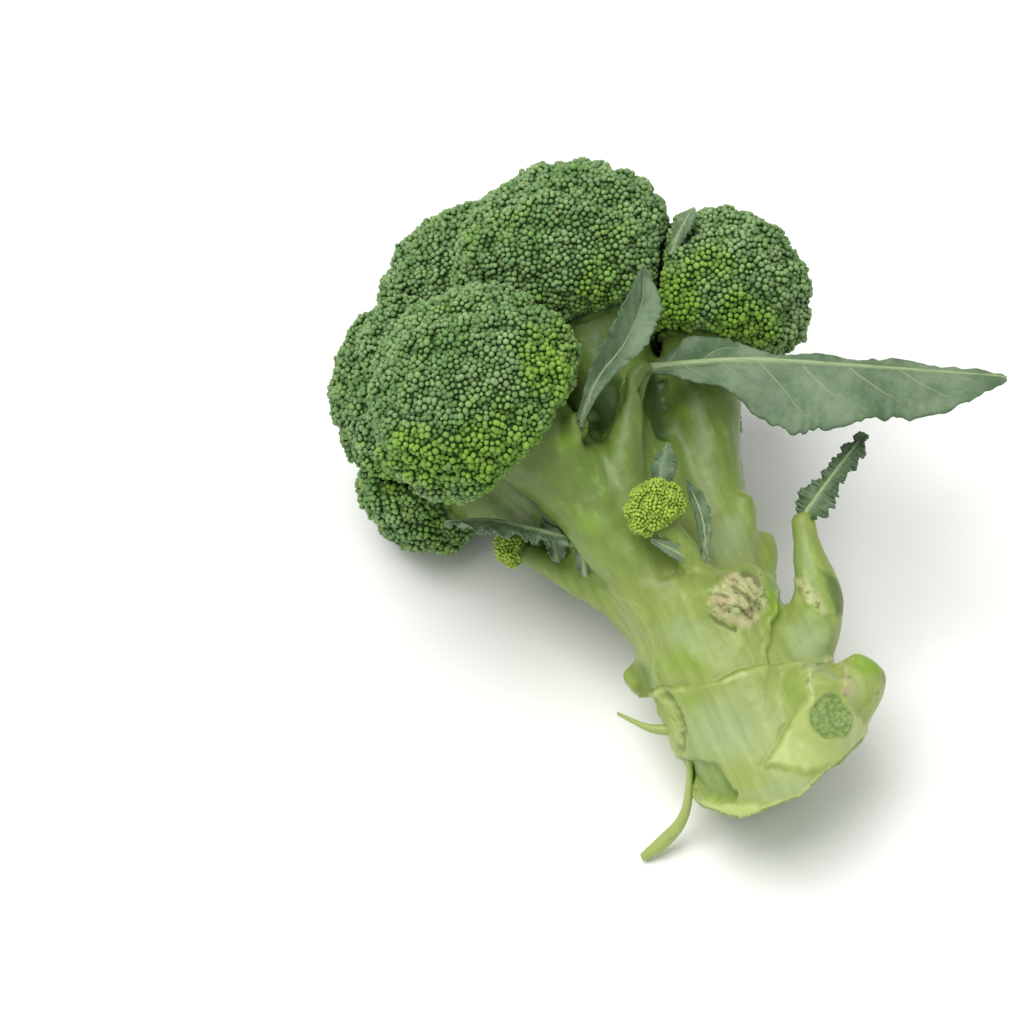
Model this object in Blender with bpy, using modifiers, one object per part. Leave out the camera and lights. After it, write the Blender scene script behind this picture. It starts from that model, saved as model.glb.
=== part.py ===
"""A fresh broccoli head with its cut stalk, lying on its side.

Units are metres and +Z is up. The plant is drawn as it grew: the plant's origin is inside the stalk
just above its cut end, the stalk runs along the plant's +Z, and an angle round the stalk is a turn.
The empty named lying_pose then lays the whole plant down on the surface at Z = 0, with the crown
towards +Y. It rests there on two florets of the crown and on the rim of the cut end.
"""

import math

import bmesh
import bpy
import numpy as np
from mathutils import Matrix, Vector

MM = 0.001
TAU = 2 * math.pi
GOLDEN_TURN = math.pi * (3 - math.sqrt(5))

# How the plant lies: which side of it faces down, how far the stalk rises towards the crown, and
# where the plant's origin is, so that the box round the part is centred over its own origin
DOWN_TURN = 103.5
STALK_RISE = 17.4
CUT_END_AT = Vector((-12.0, -82.1, 20.7)) * MM

# The trunk, in millimetres: points up its middle as (right, back, up, radius), seen with the
# photographed side in front
TRUNK = [
    (0.0, 0.0, -26.0, 21.5),
    (0.0, 0.0, 6.0, 22.0),
    (0.5, 0.0, 22.0, 21.0),
    (0.0, 0.0, 42.0, 20.5),
    (-0.5, 1.0, 58.0, 19.0),
    (0.0, 2.0, 72.0, 13.0),
]
TRUNK_SIDES = 24

# Three strokes of the knife shape the cut end: how far each falls to the right and towards the
# front, in degrees, and the height at which it crosses the trunk's middle, in millimetres
KNIFE_STROKES = [(5.0, 14.0, -8.9), (-18.3, 14.0, -9.9), (42.0, 14.0, -20.4)]

# Branches leave the trunk here and carry the florets
FORK_HEIGHT = 44.0
FOCUS_HEIGHT = 66.0
BRANCH_SHARE = 0.36
BRANCH_FLARE = 1.35
BRANCH_STEPS = 8

# Side growths of the stalk, drawn as the trunk is: leaf stalks, the stubs of leaves that were
# cut away, and the stalks of the two small shoots
SPRIGS = {
    "side_leaf_stalk": [
        (-3.0, -10.0, 64.0, 9.0),
        (-5.0, -17.0, 79.0, 7.2),
        (2.0, -22.0, 92.0, 4.6),
        (10.0, -25.0, 102.5, 3.3),
        (15.6, -26.3, 105.4, 2.8),
    ],
    "inner_leaf_stalk": [
        (-14.0, -14.0, 72.0, 6.0),
        (-14.8, -22.0, 83.0, 4.2),
        (-12.8, -28.5, 90.5, 3.4),
        (-6.6, -34.4, 97.6, 3.0),
    ],
    "frilled_leaf_stalk": [
        (14.0, -5.0, 19.0, 8.0),
        (23.0, -6.5, 26.5, 8.0),
        (28.8, -8.0, 34.5, 6.4),
        (31.6, -9.5, 45.0, 4.4),
        (34.4, -11.8, 55.2, 3.0),
    ],
    "front_shoot_stalk": [
        (5.0, -14.0, 44.0, 5.0),
        (3.5, -22.0, 52.0, 4.0),
        (0.5, -30.0, 64.0, 3.4),
    ],
    "left_shoot_stalk": [
        (-15.0, -2.0, 54.0, 6.0),
        (-23.0, 0.0, 64.0, 4.2),
        (-30.0, 2.5, 75.0, 3.4),
        (-36.0, 4.5, 84.0, 3.0),
    ],
    "right_knob": [
        (14.0, -6.0, 3.0, 9.5),
        (25.0, -8.0, 7.0, 8.0),
        (33.0, -7.0, 12.0, 5.6),
    ],
    "front_right_stub": [
        (8.0, -10.0, -2.0, 9.0),
        (15.0, -14.0, 5.0, 10.0),
        (22.0, -18.0, 12.5, 8.5),
    ],
    "front_scar": [
        (4.0, -12.0, 38.0, 9.0),
        (6.5, -19.0, 44.0, 7.0),
    ],
    "upper_right_stub": [
        (15.0, -4.0, 56.0, 5.0),
        (21.0, -6.0, 62.0, 3.6),
        (23.5, -7.0, 68.0, 2.8),
    ],
    "right_stub": [
        (15.0, 0.0, 46.0, 5.0),
        (22.0, 1.0, 53.0, 3.4),
        (24.0, 1.5, 59.0, 2.4),
    ],
    "left_knob": [
        (-12.0, 4.0, 40.0, 6.0),
        (-21.0, 5.0, 38.5, 4.8),
        (-25.5, 5.0, 37.0, 4.2),
    ],
    "back_stub": [
        (-6.0, 12.0, 30.0, 7.0),
        (-9.0, 20.0, 35.0, 5.0),
    ],
}
SPRIG_SIDES = 12

# Torn strips of skin at the cut end, which are too thin for the rest of the stalk's surface:
# (right, back, up, radius)
STRIPS = {
    "long_strip": [
        (-18.0, -2.0, 13.0, 2.4),
        (-23.0, 2.0, 4.0, 2.2),
        (-28.0, 6.0, -1.0, 1.8),
        (-35.0, 8.0, -3.5, 1.9),
        (-41.0, 9.3, -4.5, 1.2),
    ],
    "short_strip": [
        (-18.5, 0.0, 20.0, 1.9),
        (-25.0, 0.0, 23.5, 1.5),
        (-31.0, 1.0, 31.0, 0.8),
    ],
}
STRIP_SHARE = 0.45
STRIP_SIDES = 8

# The florets of the crown: turn round the stalk, distance from its axis, height above the cut
# end and radius, in millimetres, and how flat the dome is
FLORETS = {
    "front_left": (228.5, 42.4, 115.0, 29.5, 0.94),
    "top_front": (302.0, 14.0, 144.0, 32.0, 0.90),
    "upper_left": (138.0, 22.5, 155.0, 31.0, 0.96),
    "left": (168.0, 40.0, 137.5, 29.5, 0.95),
    "right": (351.0, 40.0, 122.0, 25.5, 0.92),
    "lower_left": (152.0, 55.0, 123.0, 23.0, 0.95),
    "back": (108.0, 33.0, 119.0, 23.5, 0.95),
    "back_right": (70.0, 40.0, 114.0, 23.0, 0.95),
    "top_back": (60.0, 22.0, 142.0, 28.0, 0.92),
    "far_right": (24.0, 40.0, 124.0, 21.5, 0.92),
}
FLORET_GAP = 0.25
UNDERSIDE_SHARE = 0.60
SHOULDER_POWER = 11

# Buds stand out of each dome as small pyramids, larger than life
BUD_PITCH = 6.1
BUD_RELIEF = 1.1
HIDDEN_EVERY = 7
LOBE_PITCH = 15.0
LOBE_RELIEF = 1.4

# The bud heads of the two small shoots: right, back, up and radius, and where each points
SHOOTS = {
    "front_shoot_buds": ((0.5, -31.0, 66.0), 8.0, (-0.15, -0.45, 0.88)),
    "left_shoot_buds": ((-37.0, 5.0, 86.0), 5.6, (-0.75, 0.1, 0.65)),
}
SHOOT_BUD_PITCH = 3.6
SHOOT_BUD_RELIEF = 0.5

# Leaf blades. The rib is (right, back, up) points from the leaf stalk to the tip. Each half of
# the blade leaves the rib in its own direction, and its widths are given at even steps from the
# leaf stalk to the tip.
LEAVES = {
    "side_leaf": {
        "rib": [(17.3, -26.6, 105.1), (37.3, -27.0, 94.5), (64.5, -24.0, 79.9), (96.6, -18.0, 62.9)],
        "near": (-0.44, -0.10, -0.90),
        "near_widths": (1.0, 3, 4.5, 7, 11, 18, 20, 17.5, 15.5, 13.5, 12.5, 8, 1),
        "far": (0.40, 0.45, 0.80),
        "far_widths": (1.5, 6, 9.7, 10.2, 5, 3, 3, 3, 3, 3, 2.5, 2, 1),
        "wave": 1.2,
    },
    "inner_leaf": {
        "rib": [
            (-6.3, -34.7, 97.6),
            (0.9, -38.5, 102.6),
            (11.0, -41.0, 107.3),
            (19.6, -43.0, 114.7),
            (24.0, -43.0, 123.5),
        ],
        "near": (0.75, -0.25, -0.55),
        "near_widths": (1.5, 2.5, 4, 6, 6.5, 6, 4, 1),
        "far": (-0.35, -0.90, 0.25),
        "far_widths": (1.5, 2.5, 4.5, 7, 7.5, 6.5, 4, 1),
        "wave": 0.8,
    },
    "frilled_leaf": {
        "rib": [(35.6, -12.1, 56.1), (41.5, -12.8, 57.8), (48.9, -12.8, 62.0), (58.3, -12.0, 67.2)],
        "near": (0.45, -0.35, -0.80),
        "near_widths": (2, 5.5, 5.5, 3.5, 3, 4, 3.5, 1),
        "far": (-0.50, 0.35, 0.75),
        "far_widths": (2, 5, 5.5, 3, 3, 3.5, 3, 1),
        "wave": 1.3,
    },
    "crown_leaf": {
        "rib": [(34.2, -31.5, 130.3), (39.4, -31.9, 134.0), (43.6, -30.4, 137.6)],
        "near": (0.55, -0.45, -0.70),
        "near_widths": (1, 2.2, 2.8, 2.2, 1),
        "far": (-0.60, -0.45, 0.70),
        "far_widths": (1, 1.8, 2.4, 1.8, 1),
        "wave": 0.3,
    },
    "under_leaf": {
        "rib": [(-24.5, -13.2, 76.2), (-32.0, -13.0, 83.0), (-40.0, -11.0, 90.0), (-51.0, -6.0, 97.0)],
        "near": (0.05, -0.70, -0.70),
        "near_widths": (1.5, 5, 8, 8, 6, 1),
        "far": (-0.30, 0.90, 0.20),
        "far_widths": (1.5, 5.5, 9, 9, 6.5, 1),
        "wave": 1.2,
    },
    "shoot_leaf": {
        "rib": [(7.7, -24.0, 52.0), (10.0, -29.5, 60.0), (10.5, -31.5, 70.0)],
        "near": (0.80, -0.55, 0.10),
        "near_widths": (1, 2.5, 3.2, 2.5, 1),
        "far": (-0.55, -0.80, 0.10),
        "far_widths": (1, 2, 2.6, 2, 1),
        "wave": 0.5,
    },
}
BLADE_THICKNESS = 0.8
BLADE_STEPS_ALONG = 12
BLADE_STEPS_ACROSS = 4
BLADE_WAVES = 5
RIB_THICKNESS = 2.4
RIB_WIDTH = 3.0

# What other pieces keep clear of the stalk
STALK_CLEARANCE = 1.2

STALK_VOXEL = 1.7
STALK_SMOOTHING = 4
STALK_TRIANGLES = 3200

STALK_COLOUR = (0.36, 0.47, 0.16, 1)
BUD_COLOUR = (0.05, 0.11, 0.035, 1)
YOUNG_BUD_COLOUR = (0.16, 0.25, 0.03, 1)
LEAF_COLOUR = (0.13, 0.22, 0.12, 1)


def clear_scene():
    """Removes what the scene held before."""
    for old in list(bpy.data.objects):
        bpy.data.objects.remove(old, do_unlink=True)


def collection(name, hidden=False):
    """A new collection in the scene."""
    made = bpy.data.collections.new(name)
    bpy.context.scene.collection.children.link(made)
    made.hide_render = hidden
    return made


def material(name, colour, roughness):
    """A plain finish of one colour."""
    made = bpy.data.materials.new(name)
    made.use_nodes = True
    shader = made.node_tree.nodes["Principled BSDF"]
    shader.inputs["Base Color"].default_value = colour
    shader.inputs["Roughness"].default_value = roughness
    shader.inputs["Metallic"].default_value = 0.0
    made.diffuse_color = colour
    return made


def at(turn, out, height):
    """A point of the plant from its turn in degrees, distance from the axis and height, in mm."""
    angle = math.radians(turn)
    return Vector((out * math.cos(angle), out * math.sin(angle), height)) * MM


def lying_matrix():
    """Lays the plant down: turns the down side under, then tips the stalk over towards +Y."""
    down_side_under = Matrix.Rotation(math.radians(90 - DOWN_TURN), 4, "Z")
    tip_over = Matrix.Rotation(math.radians(STALK_RISE - 90), 4, "X")
    return Matrix.Translation(CUT_END_AT) @ tip_over @ down_side_under


class Plant:
    """Where the pieces go: their collection, the cutters' collection and the empty above them."""

    def __init__(self):
        self.pieces = collection("broccoli_head")
        self.cutters = collection("cutters", hidden=True)
        self.pose = bpy.data.objects.new("lying_pose", None)
        self.pieces.objects.link(self.pose)
        self.pose.matrix_world = lying_matrix()

    def add(self, name, mesh, finish=None):
        """A piece of the plant, carried by the empty."""
        made = bpy.data.objects.new(name, mesh)
        self.pieces.objects.link(made)
        made.parent = self.pose
        if finish:
            mesh.materials.clear()
            mesh.materials.append(finish)
        return made

    def add_cutter(self, name, mesh, on_plant=True):
        """A helper that is never shown."""
        made = bpy.data.objects.new(name, mesh)
        self.cutters.objects.link(made)
        made.parent = self.pose if on_plant else None
        made.hide_render = True
        made.display_type = "WIRE"
        return made


def mesh_from(bm, name):
    """Ends a bmesh as a mesh of its own."""
    mesh = bpy.data.meshes.new(name)
    bm.to_mesh(mesh)
    bm.free()
    return mesh


def evaluated_mesh(obj):
    """The object's mesh with its modifiers done."""
    bpy.context.view_layer.update()
    graph = bpy.context.evaluated_depsgraph_get()
    return bpy.data.meshes.new_from_object(obj.evaluated_get(graph), depsgraph=graph)


def apply_modifiers(obj):
    """Replaces an object's mesh by its evaluated one and clears its modifiers."""
    done = evaluated_mesh(obj)
    obj.modifiers.clear()
    obj.data = done
    return obj


def tube_mesh(name, points, radii, sides=12, flatten=1.0):
    """A closed tube through the points with a radius at each, as a curve's bevel makes it."""
    curve = bpy.data.curves.new(name, "CURVE")
    curve.dimensions = "3D"
    curve.bevel_depth = 1.0
    curve.bevel_resolution = max(0, sides // 2 - 2)
    curve.use_fill_caps = True
    line = curve.splines.new("POLY")
    line.points.add(len(points) - 1)
    for spot, point, radius in zip(line.points, points, radii):
        spot.co = (*point, 1)
        spot.radius = radius * MM
    guide = bpy.data.objects.new(name, curve)
    bpy.context.scene.collection.objects.link(guide)
    mesh = evaluated_mesh(guide)
    bpy.data.objects.remove(guide)
    bpy.data.curves.remove(curve)
    bm = bmesh.new()
    bm.from_mesh(mesh)
    bmesh.ops.remove_doubles(bm, verts=bm.verts, dist=0.00001)
    if flatten != 1.0:
        squash_tube(bm, points, flatten)
    bm.to_mesh(mesh)
    bm.free()
    return mesh


def squash_tube(bm, points, share):
    """Flattens a thin tube across the stalk's radial direction, so that it is a strip."""
    for vert in bm.verts:
        nearest = min(points, key=lambda p: (p - vert.co).length)
        radial = Vector((nearest.x, nearest.y, 0)).normalized()
        depth = (vert.co - nearest).dot(radial)
        vert.co -= radial * depth * (1 - share)


def bend(start, middle, end, steps):
    """Points along a smooth bend from start to end, pulled towards middle."""
    for step in range(steps + 1):
        t = step / steps
        yield start * (1 - t) ** 2 + middle * 2 * t * (1 - t) + end * t * t


class Floret:
    """One floret's place, axis and size, as plain numpy numbers in millimetres."""

    def __init__(self, name, turn, out, height, radius, flat):
        self.name = name
        self.turn = turn
        self.out = out
        self.height = height
        self.radius = radius
        self.flat = flat
        self.centre = np.array(at(turn, out, height)) / MM
        axis = self.centre - np.array((0.0, 0.0, FOCUS_HEIGHT))
        self.axis = axis / np.linalg.norm(axis)

    def lobe_axes(self):
        """Directions of the smaller florets that its dome is made of."""
        count = int(4 * math.pi * self.radius**2 / LOBE_PITCH**2)
        return self.turned(sphere_points(count))

    def turned(self, directions):
        """Directions given about +Z, turned to stand about the floret's own axis."""
        turn = Vector((0, 0, 1)).rotation_difference(Vector(self.axis)).to_matrix()
        return directions @ np.array(turn).T

    def dome(self, directions):
        """The free surface's distance from the centre in each direction."""
        up = directions @ self.axis
        flattened = 1 / np.sqrt(1 + np.clip(up, 0, 1) ** 2 * (self.flat**-2 - 1))
        under = smooth_step((-up - 0.3) / 0.7)
        base = self.radius * flattened * (1 - (1 - UNDERSIDE_SHARE) * under)
        nearest = (directions @ self.lobe_axes().T).max(axis=1)
        apart = np.arccos(np.clip(nearest, -1, 1)) * self.radius / (LOBE_PITCH / 2)
        return base + LOBE_RELIEF * (0.5 - np.clip(apart, 0, 1.2) ** 2) * (1 - under)

    def limits(self, directions, others):
        """How far a floret may reach in each direction before it meets a neighbour's."""
        reach = np.full(len(directions), 1e3)
        for other in others:
            offset = other.centre - self.centre
            apart = np.linalg.norm(offset)
            facing = directions @ (offset / apart)
            wall = (apart**2 + self.radius**2 - other.radius**2) / (2 * apart) - FLORET_GAP
            reach = np.where(facing > 1e-6, np.minimum(reach, wall / np.maximum(facing, 1e-6)), reach)
        return reach

    def surface(self, directions, others, relief):
        """The distance of the packed surface, with buds standing out of it by relief."""
        dome = self.dome(directions)
        limit = self.limits(directions, others)
        packed = (dome**-SHOULDER_POWER + limit**-SHOULDER_POWER) ** (-1 / SHOULDER_POWER)
        return np.minimum(packed + relief, limit)

    def is_open(self, directions, others):
        """True where no neighbour hides the dome and it isn't the underside."""
        free = self.dome(directions) < self.limits(directions, others) + BUD_PITCH / 4
        return free & (directions @ self.axis > -0.42)


def smooth_step(t):
    """An ease from 0 to 1."""
    t = np.clip(t, 0, 1)
    return t * t * (3 - 2 * t)


def sphere_points(count):
    """Evenly spread directions: a spiral that winds down a ball."""
    step = np.arange(count)
    up = 1 - (2 * step + 1) / count
    across = np.sqrt(1 - up**2)
    return np.stack([across * np.cos(GOLDEN_TURN * step), across * np.sin(GOLDEN_TURN * step), up], axis=1)


def bud_directions(floret, others):
    """A bud's direction each: close together where the dome is open, and sparse where it is hidden."""
    count = int(4 * math.pi * floret.radius**2 / (0.866 * BUD_PITCH**2))
    spread = floret.turned(sphere_points(count))
    shown = floret.is_open(spread, others)
    sparse = np.arange(count) % HIDDEN_EVERY == 0
    keep = shown | sparse
    return spread[keep], shown[keep]


def budded_mesh(name, centre, directions, shown, distance):
    """A closed surface with a bud on each direction.

    The directions are joined up by their convex hull. Each triangle then gets a point in its
    middle, the valley between three buds, and the edges between buds are turned to join valleys.
    """
    bm = bmesh.new()
    buds = [bm.verts.new(direction) for direction in directions]
    open_buds = {bud for bud, is_shown in zip(buds, shown) if is_shown}
    bmesh.ops.convex_hull(bm, input=buds)
    between_buds = list(bm.edges)
    valleys = set(bmesh.ops.poke(bm, faces=bm.faces[:])["verts"])
    bmesh.ops.rotate_edges(bm, edges=between_buds, use_ccw=False)
    bmesh.ops.recalc_face_normals(bm, faces=bm.faces)
    units = np.array([vert.co.normalized() for vert in bm.verts])
    relief = np.zeros(len(bm.verts))
    for index, vert in enumerate(bm.verts):
        if vert in valleys:
            near = {edge.other_vert(vert) for edge in vert.link_edges} - valleys
            relief[index] = -BUD_RELIEF if near <= open_buds else 0.0
        elif vert in open_buds:
            relief[index] = BUD_RELIEF
    reach = distance(units, relief)
    for vert, unit, far in zip(bm.verts, units, reach):
        vert.co = Vector(centre + unit * far) * MM
    return mesh_from(bm, name)


def build_florets(plant, florets, stalk_room, surface, finish):
    """Each floret of the crown, hollowed under for its branch and flat where it rests."""
    made = []
    for floret in florets:
        others = [other for other in florets if other is not floret]
        directions, shown = bud_directions(floret, others)

        def distance(units, relief, floret=floret, others=others):
            return floret.surface(units, others, relief)

        mesh = budded_mesh(floret.name, floret.centre, directions, shown, distance)
        obj = plant.add("floret_" + floret.name, mesh, finish)
        cut(obj, stalk_room)
        cut(obj, surface)
        apply_modifiers(obj)
        keep_largest_body(obj.data)
        made.append(obj)
    return made


def cut(obj, cutter, operation="DIFFERENCE"):
    """A Boolean with the exact solver."""
    modifier = obj.modifiers.new(cutter.name, "BOOLEAN")
    modifier.operation = operation
    modifier.object = cutter
    modifier.solver = "EXACT"


def keep_largest_body(mesh):
    """Drops loose scraps that a cut leaves beside the main body."""
    bm = bmesh.new()
    bm.from_mesh(mesh)
    bmesh.ops.remove_doubles(bm, verts=bm.verts, dist=0.00001)
    left = set(bm.verts)
    bodies = []
    while left:
        to_visit = [left.pop()]
        body = set(to_visit)
        while to_visit:
            vert = to_visit.pop()
            fresh = {edge.other_vert(vert) for edge in vert.link_edges} - body
            body |= fresh
            to_visit.extend(fresh)
        left -= body
        bodies.append(body)
    bodies.sort(key=len)
    scraps = [vert for body in bodies[:-1] for vert in body]
    bmesh.ops.delete(bm, geom=scraps, context="VERTS")
    bm.to_mesh(mesh)
    bm.free()


def in_plant(points):
    """Turns (right, back, up, ...) in millimetres into vectors in metres."""
    return [Vector(point[:3]) * MM for point in points]


def branch_tube(floret):
    """The branch that leaves the fork steeply, bends out and flares under its floret."""
    start = at(floret.turn, floret.out * 0.22, FORK_HEIGHT)
    middle = at(floret.turn, floret.out * 0.50, FORK_HEIGHT + 0.66 * (floret.height - FORK_HEIGHT))
    end = Vector(floret.centre - floret.axis * floret.radius * 0.30) * MM
    points = list(bend(start, middle, end, BRANCH_STEPS))
    slim = floret.radius * BRANCH_SHARE
    flares = [max(0, step / BRANCH_STEPS - 0.5) * 2 for step in range(BRANCH_STEPS + 1)]
    radii = [slim * (1 + (BRANCH_FLARE - 1) * flare) for flare in flares]
    return tube_mesh("branch_" + floret.name, points, radii, SPRIG_SIDES)


def line_tube(name, line, sides, flatten=1.0):
    """A tube from (right, back, up, radius) points."""
    return tube_mesh(name, in_plant(line), [point[3] for point in line], sides, flatten)


def joined_mesh(name, meshes):
    """Puts several closed meshes in one."""
    bm = bmesh.new()
    for mesh in meshes:
        bm.from_mesh(mesh)
        bpy.data.meshes.remove(mesh)
    return mesh_from(bm, name)


def union(plant, obj, meshes):
    """Fuses closed meshes to a piece and applies it."""
    group = bpy.data.collections.new("joins_" + obj.name)
    bpy.context.scene.collection.children.link(group)
    for number, mesh in enumerate(meshes):
        joined = bpy.data.objects.new(f"join_{obj.name}_{number}", mesh)
        joined.parent = plant.pose
        group.objects.link(joined)
    modifier = obj.modifiers.new("fuse", "BOOLEAN")
    modifier.operation = "UNION"
    modifier.operand_type = "COLLECTION"
    modifier.collection = group
    modifier.solver = "EXACT"
    apply_modifiers(obj)
    for joined in list(group.objects):
        bpy.data.objects.remove(joined, do_unlink=True)
    bpy.data.collections.remove(group)


def build_stalk(plant, florets, finish):
    """Trunk, branches, leaf stalks and stubs grown into one smooth body, then cut with the knife."""
    trunk = line_tube("trunk", TRUNK, TRUNK_SIDES)
    branches = [branch_tube(floret) for floret in florets]
    sprigs = [line_tube(name, line, SPRIG_SIDES) for name, line in SPRIGS.items()]
    stalk = plant.add("stalk", joined_mesh("stalk", [trunk, *branches, *sprigs]))
    remesh = stalk.modifiers.new("grow_together", "REMESH")
    remesh.mode = "VOXEL"
    remesh.voxel_size = STALK_VOXEL * MM
    smooth = stalk.modifiers.new("soften", "SMOOTH")
    smooth.factor = 0.5
    smooth.iterations = STALK_SMOOTHING
    apply_modifiers(stalk)
    stalk.data.materials.append(finish)
    reduce_to(stalk, STALK_TRIANGLES)
    for number, stroke in enumerate(KNIFE_STROKES):
        cut(stalk, stroke_block(plant, number, *stroke))
    apply_modifiers(stalk)
    strips = [line_tube(name, line, STRIP_SIDES, STRIP_SHARE) for name, line in STRIPS.items()]
    union(plant, stalk, strips)
    return stalk


def reduce_to(obj, triangles):
    """Collapses edges until about that many triangles are left."""
    obj.data.calc_loop_triangles()
    decimate = obj.modifiers.new("lighten", "DECIMATE")
    decimate.ratio = min(1.0, triangles / len(obj.data.loop_triangles))
    decimate.use_collapse_triangulate = True
    apply_modifiers(obj)


def stroke_block(plant, number, right, front, height):
    """What one stroke of the knife takes off below the cut end."""
    size = 100 * MM
    name = f"below_stroke_{number}"
    bm = bmesh.new()
    bmesh.ops.create_cube(bm, size=size)
    bmesh.ops.translate(bm, vec=(0, 0, -size / 2), verts=bm.verts)
    lean_right = Matrix.Rotation(math.radians(right), 3, "Y")
    lean_front = Matrix.Rotation(math.radians(front), 3, "X")
    bmesh.ops.rotate(bm, cent=(0, 0, 0), matrix=lean_front @ lean_right, verts=bm.verts)
    bmesh.ops.translate(bm, vec=(0, 0, height * MM), verts=bm.verts)
    return plant.add_cutter(name, mesh_from(bm, name))


def surface_block(plant):
    """The surface that the plant lies on, which presses small flats where it rests."""
    size = 500 * MM
    bm = bmesh.new()
    bmesh.ops.create_cube(bm, size=size)
    bmesh.ops.translate(bm, vec=(0, 0, -size / 2), verts=bm.verts)
    return plant.add_cutter("surface", mesh_from(bm, "surface"), on_plant=False)


def stalk_cutter(plant, stalk):
    """The stalk grown by its clearance, which hollows the pieces that it runs into."""
    room = plant.add_cutter("stalk_room", stalk.data.copy())
    grow = room.modifiers.new("grow", "DISPLACE")
    grow.strength = STALK_CLEARANCE * MM
    grow.mid_level = 0
    remesh = room.modifiers.new("close_folds", "REMESH")
    remesh.mode = "VOXEL"
    remesh.voxel_size = STALK_VOXEL * MM
    apply_modifiers(room)
    reduce_to(room, STALK_TRIANGLES)
    return room


def build_shoots(plant, stalk_room, finish):
    """The bud heads of the small shoots beside the stalk."""
    for name, (centre, radius, axis) in SHOOTS.items():
        axis = Vector(axis).normalized()
        turn = np.array(Vector((0, 0, 1)).rotation_difference(axis).to_matrix())
        count = int(4 * math.pi * radius**2 / (0.866 * SHOOT_BUD_PITCH**2))
        directions = sphere_points(count) @ turn.T
        shown = directions @ np.array(axis) > -0.3

        def distance(units, relief, radius=radius, axis=np.array(axis)):
            under = smooth_step((-(units @ axis) - 0.1) / 0.9)
            return radius * (1 - 0.4 * under) + relief * SHOOT_BUD_RELIEF / BUD_RELIEF

        obj = plant.add(name, budded_mesh(name, np.array(centre), directions, shown, distance), finish)
        cut(obj, stalk_room)
        apply_modifiers(obj)
        keep_largest_body(obj.data)


def along_rib(rib, share):
    """A point of a smooth line through the rib's points."""
    points = in_plant(rib)
    points = [points[0] * 2 - points[1], *points, points[-1] * 2 - points[-2]]
    step = min(int(share * (len(rib) - 1)), len(rib) - 2)
    t = share * (len(rib) - 1) - step
    a, b, c, d = points[step : step + 4]
    spot = 0.5 * (2 * b + (c - a) * t + (2 * a - 5 * b + 4 * c - d) * t**2 + (3 * b - a - 3 * c + d) * t**3)
    return spot


def blade_mesh(name, leaf):
    """A leaf blade on both sides of its rib, with waved margins, still without thickness."""
    bm = bmesh.new()
    bmesh.ops.create_grid(bm, x_segments=BLADE_STEPS_ALONG, y_segments=BLADE_STEPS_ACROSS, size=1.0)
    near, far = (Vector(leaf[side]).normalized() for side in ("near", "far"))
    lift = (near + far).normalized() if (near + far).length > 0.2 else near.cross(far).normalized()
    group = bm.verts.layers.deform.new()
    for vert in bm.verts:
        share = (vert.co.x + 1) / 2
        across = vert.co.y
        side, widths = (near, leaf["near_widths"]) if across < 0 else (far, leaf["far_widths"])
        width = float(np.interp(share, np.linspace(0, 1, len(widths)), widths))
        wave = math.sin(TAU * BLADE_WAVES * share + (2.1 if across < 0 else 0)) * across**2
        rib = (1 - smooth_step(abs(across) * width / RIB_WIDTH)) * (1 - 0.6 * share)
        vert[group][0] = max(min(rib, width / RIB_THICKNESS), BLADE_THICKNESS / RIB_THICKNESS)
        aside = side * abs(across) * width + lift * wave * leaf["wave"]
        vert.co = along_rib(leaf["rib"], share) + aside * MM
    bmesh.ops.recalc_face_normals(bm, faces=bm.faces)
    bmesh.ops.triangulate(bm, faces=bm.faces)
    return mesh_from(bm, name)


def build_leaves(plant, finish):
    """Each leaf, thick along its rib and thin in its blade."""
    for name, leaf in LEAVES.items():
        obj = plant.add(name, blade_mesh(name, leaf), finish)
        obj.vertex_groups.new(name="thickness")
        wall = obj.modifiers.new("blade", "SOLIDIFY")
        wall.thickness = RIB_THICKNESS * MM
        wall.vertex_group = "thickness"
        wall.offset = 0
        apply_modifiers(obj)


def main():
    clear_scene()
    plant = Plant()
    florets = [Floret(name, *sizes) for name, sizes in FLORETS.items()]
    stalk = build_stalk(plant, florets, material("stalk", STALK_COLOUR, 0.5))
    stalk_room = stalk_cutter(plant, stalk)
    surface = surface_block(plant)
    cut(stalk, surface)
    apply_modifiers(stalk)
    build_florets(plant, florets, stalk_room, surface, material("buds", BUD_COLOUR, 0.7))
    build_shoots(plant, stalk_room, material("young_buds", YOUNG_BUD_COLOUR, 0.7))
    build_leaves(plant, material("leaf", LEAF_COLOUR, 0.6))


if __name__ == "__main__":
    main()
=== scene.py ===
"""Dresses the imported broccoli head: round buds on every floret, a worked stalk, fine leaves, the stage.

The plant is drawn as it grew, in millimetres: the stalk runs along +Z, -Y is the photographed side,
and laid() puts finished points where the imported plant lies, in metres.
"""

import math

import bpy
import numpy as np
from mathutils import Matrix, Vector, noise
from mathutils.bvhtree import BVHTree


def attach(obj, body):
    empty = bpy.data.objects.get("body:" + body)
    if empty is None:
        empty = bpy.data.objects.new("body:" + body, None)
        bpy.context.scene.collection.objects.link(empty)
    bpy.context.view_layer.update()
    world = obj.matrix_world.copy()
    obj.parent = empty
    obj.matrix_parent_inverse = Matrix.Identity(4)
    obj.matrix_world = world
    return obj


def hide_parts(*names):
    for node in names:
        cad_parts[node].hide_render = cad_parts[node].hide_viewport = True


bl_info = {
    "name": "Broccoli Head",
    "version": (1, 0, 0),
    "blender": (4, 5, 0),
    "location": "3D View > Sidebar > Broccoli",
    "description": "Buds, stalk, leaves and stage for a fresh broccoli head that lies on its side",
    "category": "Add Mesh",
}

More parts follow.
